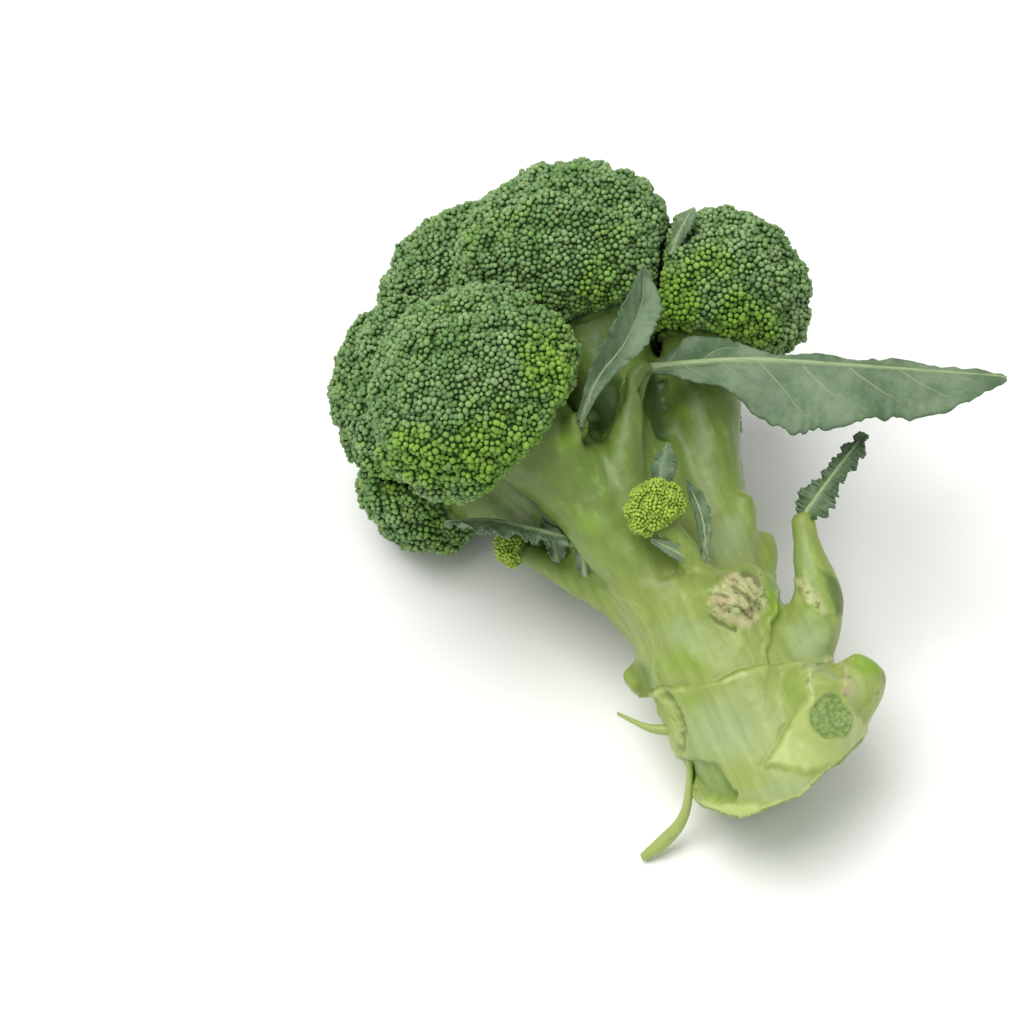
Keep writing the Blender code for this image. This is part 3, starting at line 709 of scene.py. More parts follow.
class Floret:
    """One floret's place, axis and size, and the surface that it shares with its neighbours."""

    def __init__(self, name, turn, out, height, radius, flat):
        self.name = name
        self.turn = turn
        self.out = out
        self.height = height
        self.radius = radius
        self.flat = flat
        angle = math.radians(turn)
        self.centre = np.array((out * math.cos(angle), out * math.sin(angle), height))
        axis = self.centre - np.array((0.0, 0.0, FOCUS_HEIGHT))
        self.axis = axis / np.linalg.norm(axis)

    def turned(self, directions):
        """Directions given about +Z, turned to stand about the floret's own axis."""
        turn = Vector((0, 0, 1)).rotation_difference(Vector(self.axis)).to_matrix()
        return directions @ np.array(turn).T

    def lobe_axes(self):
        """Directions of the smaller florets that its dome is made of."""
        return self.turned(sphere_points(int(4 * math.pi * self.radius**2 / LOBE_PITCH**2)))

    def dome(self, directions):
        """The free surface's distance from the middle in each direction."""
        up = directions @ self.axis
        flattened = 1 / np.sqrt(1 + np.clip(up, 0, 1) ** 2 * (self.flat**-2 - 1))
        under = smooth_step((-up - 0.3) / 0.7)
        base = self.radius * flattened * (1 - (1 - UNDERSIDE_SHARE) * under)
        nearest = (directions @ self.lobe_axes().T).max(axis=1)
        apart = np.arccos(np.clip(nearest, -1, 1)) * self.radius / (LOBE_PITCH / 2)
        return base + LOBE_RELIEF * (0.5 - np.clip(apart, 0, 1.2) ** 2) * (1 - under)

    def limits(self, directions, others):
        """How far the floret may reach in each direction before it meets a neighbour's."""
        reach = np.full(len(directions), 1e3)
        for other in others:
            offset = other.centre - self.centre
            apart = np.linalg.norm(offset)
            facing = directions @ (offset / apart)
            wall = (apart**2 + self.radius**2 - other.radius**2) / (2 * apart) - FLORET_GAP
            reach = np.where(facing > 1e-6, np.minimum(reach, wall / np.maximum(facing, 1e-6)), reach)
        return reach

    def surface(self, directions, others, relief):
        """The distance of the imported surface, with relief standing out of it."""
        dome = self.dome(directions)
        limit = self.limits(directions, others)
        packed = (dome**-SHOULDER_POWER + limit**-SHOULDER_POWER) ** (-1 / SHOULDER_POWER)
        return np.minimum(packed + relief, limit)


class Clusters:
    """Small groups that the buds of a head grow in."""

    def __init__(self, radius, pitch, seed, turned):
        self.radius = radius
        self.pitch = pitch
        count = max(8, spots_on(radius, pitch))
        self.axes = turned(shaken_points(count, seed))
        self.tones = np.random.default_rng(seed + 1).uniform(size=count)

    def depth(self, directions):
        """0 on a group's middle and 1 in the valley between groups, and each group's own tone."""
        facing = directions @ self.axes.T
        owner = facing.argmax(axis=1)
        apart = np.arccos(np.clip(facing.max(axis=1), -1, 1)) * self.radius / (self.pitch / 2)
        return np.clip(apart, 0, 1.25) ** 2, self.tones[owner]


def model_bud():
    """One closed bud a millimetre wide, drawn once: a ball with a drawn-in foot and a blunt tip."""
    deselect()
    bpy.ops.mesh.primitive_uv_sphere_add(segments=6, ring_count=4, radius=0.5)
    bud = bpy.context.object
    bpy.ops.object.mode_set(mode="EDIT")
    bpy.ops.mesh.select_all(action="DESELECT")
    bpy.ops.object.mode_set(mode="OBJECT")
    for vert in bud.data.vertices:
        vert.select = 0.1 < vert.co.z < 0.45
    bpy.ops.object.mode_set(mode="EDIT")
    bpy.ops.transform.resize(value=(1.08, 1.08, 1.0))
    bpy.ops.transform.translate(value=(0, 0, 0.04))
    bpy.ops.mesh.select_all(action="DESELECT")
    bpy.ops.object.mode_set(mode="OBJECT")
    for vert in bud.data.vertices:
        vert.select = vert.co.z < -0.1
    bpy.ops.object.mode_set(mode="EDIT")
    bpy.ops.transform.resize(value=(0.75, 0.75, 1.0))
    bpy.ops.object.mode_set(mode="OBJECT")
    points = points_of(bud.data)
    corners, sizes = faces_of(bud.data)
    bpy.data.objects.remove(bud)
    return points, corners, sizes


def model_ball(subdivisions):
    """The directions and faces of a ball of even triangles."""
    deselect()
    bpy.ops.mesh.primitive_ico_sphere_add(subdivisions=subdivisions, radius=1.0)
    ball = bpy.context.object
    points = points_of(ball.data)
    corners, sizes = faces_of(ball.data)
    bpy.data.objects.remove(ball)
    return points / np.linalg.norm(points, axis=1, keepdims=True), corners, sizes


def surface_normals(directions, distance):
    """The outward normals of a surface given by its distance in each direction."""
    side = np.cross(directions, np.where(np.abs(directions[:, 2:]) < 0.9, (0.0, 0.0, 1.0), (1.0, 0.0, 0.0)))
    side /= np.linalg.norm(side, axis=1, keepdims=True)
    other = np.cross(directions, side)
    step = 0.03
    here = directions * distance(directions)[:, None]
    there = []
    for way in (side, other):
        aside = directions + way * step
        aside /= np.linalg.norm(aside, axis=1, keepdims=True)
        there.append(aside * distance(aside)[:, None] - here)
    normals = np.cross(there[0], there[1])
    normals *= np.sign((normals * directions).sum(axis=1, keepdims=True))
    return normals / np.linalg.norm(normals, axis=1, keepdims=True)


def bud_copies(pattern, places, normals, widths, seed):
    """A copy of the bud on each place, standing along its normal with a slight lean."""
    points, corners, sizes = pattern
    chance = np.random.default_rng(seed)
    ups = normals + chance.normal(size=normals.shape) * 0.14
    ups /= np.linalg.norm(ups, axis=1, keepdims=True)
    side = np.cross(ups, chance.normal(size=ups.shape))
    side /= np.linalg.norm(side, axis=1, keepdims=True)
    other = np.cross(ups, side)
    tall = chance.uniform(0.95, 1.25, len(places))
    x = points[None, :, 0, None] * side[:, None, :]
    y = points[None, :, 1, None] * other[:, None, :]
    z = points[None, :, 2, None] * ups[:, None, :] * tall[:, None, None]
    spots = places[:, None, :] + (x + y + z) * widths[:, None, None]
    count = len(places)
    offsets = np.arange(count)[:, None] * len(points)
    all_corners = (corners[None, :] + offsets).ravel()
    # Each point's height in its bud, which the material uses for painted shade at the foot and for the bloom
    # with its painted highlight on top
    tips = np.tile((points[:, 2] - points[:, 2].min()) / np.ptp(points[:, 2]), count)
    return spots.reshape(-1, 3), all_corners, np.tile(sizes, count), tips


class BudHead:
    """Builds one head of buds: a closed core, painted wholly in the dark shade colour of the gaps, and the
    buds on it, in one mesh.
    """

    def __init__(self, name, centre, width, relief, seed):
        self.name = name
        self.centre = np.array(centre, dtype=float)
        self.width = width
        self.relief = relief
        self.seed = seed

    def build(self, bud, ball, directions, shown, distance, clusters, young, stems):
        """The head's mesh, with the numbers that its material reads."""
        width = self.width
        relief = self.relief
        depth, group_tone = clusters.depth(directions)

        def bud_distance(ways):
            return distance(ways, relief * (LEVEL_DEPTH - clusters.depth(ways)[0]))

        chance = np.random.default_rng(self.seed)
        ways = directions[shown]
        reach = bud_distance(ways) - width * 0.26 + chance.normal(size=len(ways)) * width * 0.10
        places = self.centre + ways * reach[:, None]
        normals = surface_normals(ways, bud_distance)
        widths = width * np.clip(chance.normal(1.10, 0.17, len(ways)), 0.72, 1.5)
        spots, corners, sizes, tips = bud_copies(bud, places, normals, widths, self.seed + 7)
        per_bud = len(bud[0])
        tone = np.clip(0.5 + 0.24 * chance.normal(size=len(ways)) + 0.45 * (group_tone[shown] - 0.5), 0, 1)
        hue = chance.uniform(size=len(ways))
        core_ways, core_corners, core_sizes = ball
        stem, ridge = stems(core_ways)
        core_depth, _ = clusters.depth(core_ways)
        under_buds = relief * (LEVEL_DEPTH - core_depth) * (1 - stem) - width * 0.62 * (1 - stem)
        core_relief = under_buds + ridge * stem * 0.8
        core_spots = self.centre + core_ways * distance(core_ways, core_relief)[:, None]
        young_bud = young(places, ways)
        world = laid(np.vstack([core_spots, spots]))
        world[:, 2] = np.maximum(world[:, 2], 0.0)
        mesh = mesh_from(
            self.name,
            world,
            np.concatenate([core_corners, corners + len(core_spots)]),
            np.concatenate([core_sizes, sizes]),
        )
        # The core's tip is 0, so the material paints it all in the painted shade colour of the gaps
        core_zero = np.zeros(len(core_spots))
        core_half = np.full(len(core_spots), 0.5)
        bud_zero = np.zeros(len(spots))
        for mark, core_values, bud_values in (
            ("tip", core_zero, tips),
            ("hue", core_half, np.repeat(hue, per_bud)),
            ("tone", core_half, np.repeat(tone, per_bud)),
            ("deep", core_depth, np.repeat(depth[shown], per_bud)),
            ("young", core_zero, np.repeat(young_bud, per_bud)),
            ("stem", stem, bud_zero),
            ("ridge", ridge, bud_zero),
        ):
            paint(mesh, mark, np.concatenate([core_values, bud_values]))
        return mesh


def underside(floret):
    """A function that tells where a floret's bare underside is and how its branchlets stand out, which also
    sets the painted shade between them.
    """

    def stems(ways):
        up = ways @ floret.axis
        axes = floret.lobe_axes()
        rims = axes[(axes @ floret.axis > -0.5) & (axes @ floret.axis < 0.35)]
        flat_rims = rims - np.outer(rims @ floret.axis, floret.axis)
        flat_rims /= np.linalg.norm(flat_rims, axis=1, keepdims=True)
        flat = ways - np.outer(up, floret.axis)
        length = np.linalg.norm(flat, axis=1, keepdims=True)
        facing = (flat / np.maximum(length, 1e-6)) @ flat_rims.T
        apart = np.arccos(np.clip(facing.max(axis=1), -1, 1)) * length[:, 0] * floret.radius / 3.4
        stem = smooth_step((RIM - 0.02 - up) / 0.06)
        return stem, np.clip(1 - apart**2, 0, 1)

    return stems


def young_share(places):
    """How young the buds at places in the plant are, from the patches that the picture shows."""
    world = laid(places)
    across, down = picture_pixels(world)
    share = np.zeros(len(places))
    for middle, height, wide, tall, strength in YOUNG_PATCHES:
        apart = np.hypot((across - middle) / wide, (down - height) / tall)
        share = np.maximum(share, strength * smooth_step(1.25 - apart))
    return share


def build_florets(settings):
    """Every floret of the crown."""
    finish = bud_finish("floret_buds", settings, settings.young_green, settings.young_tip_highlight, settings.bud_gap_shade)
    bud = model_bud()
    ball = model_ball(6)
    florets = [Floret(name, *sizes) for name, sizes in FLORETS.items()]
    pitch = settings.bud_width / MM
    for number, floret in enumerate(florets):
        others = [other for other in florets if other is not floret]
        directions = floret.turned(shaken_points(spots_on(floret.radius, pitch), 100 + number))
        free = floret.dome(directions) < floret.limits(directions, others) + pitch * 1.6
        shown = free & (directions @ floret.axis > RIM)
        clusters = Clusters(floret.radius, 5.6, 300 + number, floret.turned)

        def distance(ways, relief, floret=floret, others=others):
            return floret.surface(ways, others, relief)

        def young(places, ways, floret=floret):
            low = smooth_step((0.05 - ways @ floret.axis) / 0.7)
            patches = noise_at(places, 13.0, 2, floret.turn) * 0.5
            return np.clip(np.maximum(low * 0.6, young_share(places)) + patches, 0, 1)

        head = BudHead("floret_buds_" + floret.name, floret.centre, pitch, 1.25, 500 + number)
        mesh = head.build(bud, ball, directions, shown, distance, clusters, young, underside(floret))
        piece_from(head.name, mesh, finish, "buds", "floret_" + floret.name)


def build_shoots(settings):
    """The bud heads of the two small shoots."""
    finish = bud_finish("young_buds", settings, settings.shoot_green, settings.shoot_tip_highlight, settings.shoot_gap_shade)
    bud = model_bud()
    ball = model_ball(5)
    for number, (name, (centre, radius, axis)) in enumerate(SHOOTS.items()):
        axis = np.array(axis) / np.linalg.norm(axis)
        turn = np.array(Vector((0, 0, 1)).rotation_difference(Vector(axis)).to_matrix())
        pitch = settings.shoot_bud_width / MM

        def turned(ways, turn=turn):
            return ways @ turn.T

        directions = turned(shaken_points(spots_on(radius, pitch), 700 + number))
        shown = directions @ axis > SHOOT_RIM
        clusters = Clusters(radius, 4.6, 720 + number, turned)

        def distance(ways, relief, radius=radius, axis=axis):
            under = smooth_step((-(ways @ axis) - 0.1) / 0.9)
            return radius * (1 - 0.4 * under) + relief

        def young(places, _):
            return np.clip(1.1 + 0.4 * noise_at(places, 5.0, 2), 0, 1.2)

        def stems(ways, axis=axis):
            stem = smooth_step((SHOOT_RIM - ways @ axis) / 0.1)
            return stem, 0.6 * stem

        head = BudHead(name + "_beads", centre, pitch, 0.7, 740 + number)
        mesh = head.build(bud, ball, directions, shown, distance, clusters, young, stems)
        piece_from(head.name, mesh, finish, "young_buds", name)


# Stalk

# How many pixels the outlines of the stalk's marks waver by
WAVER = 3.5
FINE_WAVER = 1.2


def with_ends(points):
    """The points as rows, and with one more row before the first and after the last."""
    rows = np.array(points, dtype=float)
    return rows, np.vstack([2 * rows[0] - rows[1], rows, 2 * rows[-1] - rows[-2]])


def between(a, b, c, d, t):
    """The place a share t of the way from b to c on a smooth line through all four."""
    return 0.5 * (
        2 * b + (c - a) * t + (2 * a - 5 * b + 4 * c - d) * t**2 + (3 * b - a - 3 * c + d) * t**3
    )


def smooth_line(points, steps):
    """More points on a smooth line through the given rows, and their radii with them."""
    rows, padded = with_ends(points)
    made = []
    for step in range(len(rows) - 1):
        for t in np.linspace(0, 1, steps, endpoint=False):
            made.append(between(*padded[step : step + 4], t))
    return np.array([*made, rows[-1]])


def branch_line(floret):
    """The branch that leaves the fork steeply, bends out and flares under its floret."""
    angle = math.radians(floret.turn)
    out = np.array((math.cos(angle), math.sin(angle), 0.0))
    start = out * floret.out * 0.22 + (0, 0, FORK_HEIGHT)
    middle = out * floret.out * 0.50 + (0, 0, FORK_HEIGHT + 0.66 * (floret.height - FORK_HEIGHT))
    end = floret.centre - floret.axis * floret.radius * 0.30
    slim = floret.radius * BRANCH_SHARE
    rows = []
    for t in np.linspace(0, 1, BRANCH_STEPS + 1):
        spot = start * (1 - t) ** 2 + middle * 2 * t * (1 - t) + end * t * t
        rows.append((*spot, slim * (1 + (BRANCH_FLARE - 1) * max(0.0, t - 0.5) * 2)))
    return np.array(rows)


def stalk_lines():
    """Every tube of the stalk: rows of (right, back, up, radius), by name."""
    lines = {"trunk": np.array(TRUNK, dtype=float)}
    for name, sizes in FLORETS.items():
        lines["branch_" + name] = branch_line(Floret(name, *sizes))
    for name, rows in SPRIGS.items():
        lines[name] = smooth_line(rows, 3)
    return lines


def tube_object(name, rows, sides):
    """A closed tube that a round bevel draws along a line, as a mesh object in millimetres."""
    deselect()
    bpy.ops.curve.primitive_bezier_curve_add(location=(0, 0, 0))
    guide = bpy.context.object
    guide.data.splines.clear()
    line = guide.data.splines.new("POLY")
    line.points.add(len(rows) - 1)
    for spot, row in zip(line.points, rows):
        spot.co = (*row[:3], 1)
        spot.radius = row[3]
    guide.data.bevel_depth = 1.0
    guide.data.bevel_resolution = max(0, sides // 2 - 2)
    guide.data.use_fill_caps = True
    bpy.ops.object.convert(target="MESH")
    made = bpy.context.object
    made.name = name
    bpy.ops.object.mode_set(mode="EDIT")
    bpy.ops.mesh.select_all(action="SELECT")
    bpy.ops.mesh.remove_doubles(threshold=0.01)
    bpy.ops.mesh.normals_make_consistent(inside=False)
    bpy.ops.object.mode_set(mode="OBJECT")
    return made


def apply(obj, kind, **values):
    """Adds a modifier, gives it its values and applies it."""
    only(obj)
    modifier = obj.modifiers.new(kind.lower(), kind)
    for name, value in values.items():
        setattr(modifier, name, value)
    bpy.ops.object.modifier_apply(modifier=modifier.name)
    return obj


def stroke_turn(right, front):
    """How a stroke of the knife leans: falling to the right and towards the front."""
    lean_right = Matrix.Rotation(math.radians(right), 3, "Y")
    lean_front = Matrix.Rotation(math.radians(front), 3, "X")
    return lean_front @ lean_right


def knife_block(right, front, height):
    """What one stroke of the knife takes off below the cut end."""
    deselect()
    size = 100.0
    bpy.ops.mesh.primitive_cube_add(size=size)
    block = bpy.context.object
    move = Matrix.Translation((0, 0, height)) @ stroke_turn(right, front).to_4x4()
    block.data.transform(move @ Matrix.Translation((0, 0, -size / 2)))
    return block


def beside_line(across, down, line):
    """How many pixels each picture point is from a line: above 0 on the line's right hand."""
    rows = np.array(line, dtype=float)
    beside = np.full(len(across), FAR)
    for (x, y), (u, v) in zip(rows[:-1], rows[1:]):
        t = ((across - x) * (u - x) + (down - y) * (v - y)) / ((u - x) ** 2 + (v - y) ** 2)
        t = np.clip(t, 0, 1)
        apart = np.hypot(across - x - t * (u - x), down - y - t * (v - y))
        side = np.where((u - x) * (down - y) > (v - y) * (across - x), 1.0, -1.0)
        beside = np.where(apart < np.abs(beside), apart * side, beside)
    return beside


def within(across, down, outline):
    """True for picture points inside an outline of pixels."""
    rows = np.array([*outline, outline[0]], dtype=float)
    inside = np.zeros(len(across), dtype=bool)
    for (x, y), (u, v) in zip(rows[:-1], rows[1:]):
        if y != v:
            crossed = (down >= min(y, v)) & (down < max(y, v))
            inside ^= crossed & (across < x + (down - y) * (u - x) / (v - y))
    return inside


class Carver:
    """Works the photographed side of the stalk at places given in the picture's pixels."""

    def __init__(self, mesh):
        self.points = points_of(mesh)
        self.normals = normals_of(mesh)
        self.eye = np.array(LYING.inverted() @ EYE) / MM
        self.shown = self.facing() * self.clear(mesh)
        self.noise = noise_at(self.points, 6.0, 3, 3.0)
        self.fine = noise_at(self.points, 1.6, 2, 11.0)
        across, down = picture_pixels(laid(self.points))
        self.across = across + WAVER * self.noise + FINE_WAVER * self.fine
        self.down = down + WAVER * noise_at(self.points, 6.0, 2, 17.0) - FINE_WAVER * self.fine

    def facing(self):
        """1 where the surface faces the camera."""
        ways = self.eye - self.points
        ways /= np.linalg.norm(ways, axis=1, keepdims=True)
        return smooth_step(((ways * self.normals).sum(axis=1) + 0.25) / 0.3)

    def clear(self, mesh):
        """1 where no other part of the stalk is in front."""
        corners, sizes = faces_of(mesh)
        ends = np.cumsum(sizes)
        faces = [corners[end - size : end].tolist() for end, size in zip(ends, sizes)]
        tree = BVHTree.FromPolygons(self.points.tolist(), faces)
        eye = Vector(self.eye)
        free = np.ones(len(self.points))
        for index, start in enumerate(self.points + self.normals * 0.8):
            start = Vector(start)
            if tree.ray_cast(start, (eye - start).normalized(), 70.0)[0] is not None:
                free[index] = 0.0
        return free

    def oval(self, across, down, wide, tall, lean=0.0, soft=0.6):
        """1 inside an oval, easing to 0 over the soft outer share of it."""
        angle = math.radians(lean)
        right = self.across - across
        up = down - self.down
        first = (right * math.cos(angle) + up * math.sin(angle)) / wide
        second = (up * math.cos(angle) - right * math.sin(angle)) / tall
        return smooth_step((1 - np.hypot(first, second)) / soft) * self.shown

    def ovals(self, rows):
        """The strongest of several soft ovals, each with a strength of its own."""
        return np.maximum.reduce([self.oval(*oval, 1.0) * strength for *oval, strength in rows])

    def stroke(self, line, wide):
        """1 on a line, easing to 0 on both sides of it."""
        wavering = np.maximum(0.3, 1 + 0.8 * self.noise)
        apart = np.abs(beside_line(self.across, self.down, line))
        return smooth_step(1 - apart / (wide * wavering)) * self.shown

    def region(self, outline, soft):
        """1 inside an outline, easing to 0 across its edge."""
        inside = within(self.across, self.down, outline)
        apart = np.abs(beside_line(self.across, self.down, [*outline, outline[0]]))
        return smooth_step(0.5 + np.where(inside, apart, -apart) / soft) * self.shown

    def step(self, line, height):
        """Lifts the skin on a line's right hand, sinks it on the left, and gives masks for a painted
        highlight along the raised edge and for painted shade in the crease.
        """
        beside = beside_line(self.across, self.down, line)
        over = np.exp(-np.abs(beside) / 13.0)
        side = 2 * smooth_step(0.5 + beside / 5.0) - 1
        self.raise_by(side * over * self.shown, height)
        # Painted highlight along the raised edge, painted shade in the crease beside it
        edge = smooth_step(1 - np.abs(beside - 4.5) / 5.0) * self.shown
        crease = smooth_step(1 - np.abs(beside + 1.0) / 3.0) * self.shown
        return edge * np.clip(0.6 + self.noise, 0, 1), crease * np.clip(0.7 + self.noise, 0, 1)

    def raise_by(self, mask, height):
        """Moves the surface out along its normals."""
        self.points = self.points + self.normals * (mask * height)[:, None]

    def shave(self, across, down, mask, depth, tilt):
        """Flattens a masked place to one plane, sunk by a depth and turned a little right and up."""
        nearest = np.where(self.shown > 0.5, np.hypot(self.across - across, self.down - down), FAR).argmin()
        spot = self.points[nearest]
        back = LYING.to_3x3().inverted()
        normal = self.normals[nearest] + np.array(back @ PICTURE_RIGHT) * tilt[0]
        normal = normal + np.array(back @ PICTURE_UP) * tilt[1]
        normal /= np.linalg.norm(normal)
        height = (self.points - spot) @ normal + depth
        self.points = self.points - normal * (height * mask)[:, None]


def build_stalk(settings):
    """Trunk, branches, leaf stalks and stubs grown into one skin, then cut, worked and scarred."""
    lines = stalk_lines()
    stalk = joined([
        tube_object(name, rows, 32 if name == "trunk" else 20) for name, rows in lines.items()
    ])
    apply(stalk, "REMESH", mode="VOXEL", voxel_size=1.3)
    apply(stalk, "SMOOTH", factor=0.5, iterations=7)
    for stroke in KNIFE_STROKES:
        block = knife_block(*stroke)
        apply(stalk, "BOOLEAN", operation="DIFFERENCE", object=block, solver="EXACT")
        bpy.data.objects.remove(block)
    apply(stalk, "REMESH", mode="VOXEL", voxel_size=settings.stalk_grain / MM)
    refine(stalk)
    mesh = mesh_out_of(stalk)
    carver = Carver(mesh)
    marks = work_stalk(carver)
    world = laid(carver.points)
    world[:, 2] = np.maximum(world[:, 2], 0.0)
    put_points(mesh, world)
    mesh.shade_smooth()
    for name, values in marks.items():
        paint(mesh, name, values)
    piece_from("stalk_skin", mesh, stalk_finish(settings), "stalk", "stalk")


def refine(stalk):
    """Splits the faces of the photographed side of the trunk, which is worked in fine detail."""
    mesh = stalk.data
    points = points_of(mesh)
    wanted = (points[:, 2] < 52) & (points[:, 1] < 4)
    corners, sizes = faces_of(mesh)
    starts = np.concatenate([[0], np.cumsum(sizes)[:-1]])
    only(stalk)
    mesh.polygons.foreach_set("select", np.minimum.reduceat(wanted[corners], starts))
    bpy.ops.object.mode_set(mode="EDIT")
    bpy.ops.mesh.select_mode(type="FACE")
    bpy.ops.mesh.subdivide(number_cuts=1)
    bpy.ops.object.mode_set(mode="OBJECT")


def cut_face(points, normals):
    """1 on the flat faces that the knife left, and how far each point is above them."""
    above = np.full(len(points), FAR)
    on_face = np.zeros(len(points))
    for right, front, height in KNIFE_STROKES:
        normal = np.array(stroke_turn(right, front) @ Vector((0, 0, 1)))
        apart = (points - (0.0, 0.0, height)) @ normal
        faces = smooth_step((0.9 - apart) / 0.5) * smooth_step((normals @ -normal - 0.4) / 0.4)
        on_face = np.maximum(on_face, faces)
        above = np.minimum(above, apart)
    return on_face, above


# What the picture shows on the stalk, in pixels. First the joints between the plates of skin, and how
# far the skin stands out on the right hand of each line
PLATE_JOINTS = [
    ([(650, 691), (664, 687), (686, 685), (712, 681), (732, 673), (750, 667), (775, 663), (800, 662)], 0.75),
    ([(783, 580), (779, 597), (773, 617), (769, 642), (768, 658)], 0.5),
    ([(668, 577), (690, 570), (712, 571), (735, 566), (757, 566), (772, 574)], 0.35),
    ([(607, 590), (630, 598), (650, 616), (658, 642), (660, 672)], 0.35),
]

# Sunken plates: middle, half the width and the height, lean in degrees, and depth in millimetres
PLATES = [
    (737, 722, 50, 34, -24, 1.5),
    (708, 640, 38, 26, -12, 1.1),
    (806, 636, 24, 26, 10, 1.0),
    (722, 530, 22, 24, 0, 0.7),
    (640, 640, 14, 26, 60, 0.6),
    (625, 520, 20, 40, 40, 0.6),
]

# Outlines
WEDGE = [
    (766, 764), (770, 752), (781, 736), (797, 713), (808, 692),
    (846, 700), (866, 730), (838, 760), (807, 769),
]
CRESCENT = [
    (677, 762), (696, 759), (715, 762), (724, 776), (736, 791),
    (733, 799), (712, 800), (697, 792), (684, 778),
]
CRESCENT_LIP = [
    (680, 776), (699, 799), (724, 802), (753, 803), (772, 806),
    (757, 813), (732, 817), (704, 810), (686, 796),
]
FRONT_SCAR = [
    (709, 602), (716, 584), (735, 572), (757, 574), (765, 590),
    (762, 610), (748, 629), (734, 624), (715, 616),
]
FRILL_SCAR = [(792, 583), (803, 573), (815, 588), (830, 612), (822, 617), (806, 603)]
FRILL_MARGIN = [(818, 568), (836, 578), (846, 592), (845, 614), (834, 614), (826, 594)]
TORN_EDGE = [(662, 692), (672, 700), (681, 724), (686, 748), (682, 764), (668, 742), (658, 716)]
INNER_HOLLOW = [(586, 444), (579, 420), (588, 392), (606, 374), (624, 380), (620, 404), (605, 428)]
SIDE_HOLLOW = [(641, 388), (650, 372), (662, 378), (669, 402), (671, 440), (658, 436), (647, 410)]
LOWER_WAX = [(735, 797), (770, 776), (812, 773), (845, 757), (858, 742), (833, 768), (793, 800)]

# Strokes: a line and how wide it is
WEDGE_GROOVE = ([(764, 762), (777, 736), (793, 712), (803, 694)], 4.0)
KNOB_RING = ([(812, 690), (808, 674), (817, 662), (831, 659), (843, 666), (848, 680)], 7.0)
TORN_GROOVE = ([(668, 692), (676, 708), (683, 728), (684, 748)], 5.5)
SCAR_RIM = ([(766, 577), (774, 592), (773, 612), (764, 630)], 8.0)
CRESCENT_CRACK = ([(708, 766), (715, 775), (722, 786), (730, 795)], 5.0)
RING_CRACK = ([(814, 668), (822, 662), (831, 661), (838, 664)], 3.0)
SCAR_FOLDS = [
    ([(724, 604), (737, 608), (750, 618)], 3.2),
    ([(734, 590), (744, 596), (754, 606)], 5.0),
    ([(745, 572), (753, 576), (758, 583)], 6.5),
    ([(711, 617), (722, 625), (734, 630)], 3.6),
    ([(715, 594), (728, 597)], 3.0),
]

# Soft ovals of colour: middle, half the width and the height, lean in degrees, and strength
WAX_OVALS = [
    (724, 730, 72, 56, 20, 1.1),
    (684, 632, 48, 30, 0, 0.7),
    (808, 640, 44, 46, 0, 1.0),
    (726, 540, 44, 42, 0, 1.0),
    (610, 470, 22, 40, -20, 0.3),
    (800, 560, 26, 50, 0, 0.5),
]
VIVID_OVALS = [
    (684, 662, 58, 24, 8, 0.6),
    (592, 522, 30, 24, 0, 0.8),
    (562, 442, 28, 18, 30, 1.0),
    (690, 700, 28, 16, 10, 0.7),
    (772, 596, 16, 46, 0, 1.0),
    (683, 412, 18, 20, 0, 0.7),
    (794, 690, 26, 34, 30, 0.5),
    (868, 662, 26, 26, 0, 1.5),
    (690, 745, 14, 40, 0, 0.6),
    (575, 560, 44, 30, -40, 0.5),
]
# The last oval is painted shade on the branch deep between the leaves
DUSK_OVALS = [(885, 676, 14, 34, 10, 0.5), (836, 728, 20, 13, 25, 0.5), (600, 342, 34, 44, 0, 0.6)]
PALE_OVALS = [(852, 686, 22, 30, 0, 0.9), (800, 588, 16, 34, -20, 0.7)]
SCAR_OVALS = [(846, 690, 14, 12, 0, 0.9), (877, 690, 14, 20, 0, 0.6)]


def carve_plates(carver):
    """Sinks the plates of skin and steps the skin at their joints, giving where a painted highlight and
    painted shade lie along them.
    """
    for across, down, wide, tall, lean, depth in PLATES:
        carver.raise_by(carver.oval(across, down, wide, tall, lean, 1.0), -depth)
    edges = np.zeros(len(carver.points))
    shaded_creases = np.zeros(len(carver.points))
    for line, height in PLATE_JOINTS:
        edge, crease = carver.step(line, height)
        edges = np.maximum(edges, edge * min(1.0, height * 1.5))
        shaded_creases = np.maximum(shaded_creases, crease * min(1.0, height * 1.5))
    return edges, shaded_creases


def carve_wedge(carver):
    """Raises the wedge of a cut leaf on the right, flattens its oval cut and rings the bud above it."""
    wedge = carver.region(WEDGE, 9.0)
    carver.raise_by(wedge, 1.2)
    carver.raise_by(carver.stroke(*WEDGE_GROOVE), -0.4)
    face = carver.oval(828, 714, 23, 25, 20, 0.3)
    carver.shave(828, 714, face, 1.9, (0.12, 0.1))
    ring = carver.stroke(*KNOB_RING)
    carver.raise_by(ring, 0.5)
    carver.raise_by(carver.oval(828, 676, 13, 10, 0, 1.0), -0.7)
    return wedge, face, ring


def carve_cut_end(carver):
    """Scoops the crescent above the cut's rim and tears the left edge."""
    crescent = carver.region(CRESCENT, 8.0)
    carver.raise_by(crescent, -2.6)
    lip = carver.region(CRESCENT_LIP, 8.0)
    carver.raise_by(lip, 0.5)
    torn = carver.region(TORN_EDGE, 9.0)
    fibres = noise_at(carver.points * (1.0, 1.0, 0.12), 1.6, 3, 9.0)
    carver.raise_by(torn, 0.4 + 1.3 * fibres)
    groove = carver.stroke(*TORN_GROOVE)
    carver.raise_by(groove, -0.9)
    return crescent, lip, torn, groove


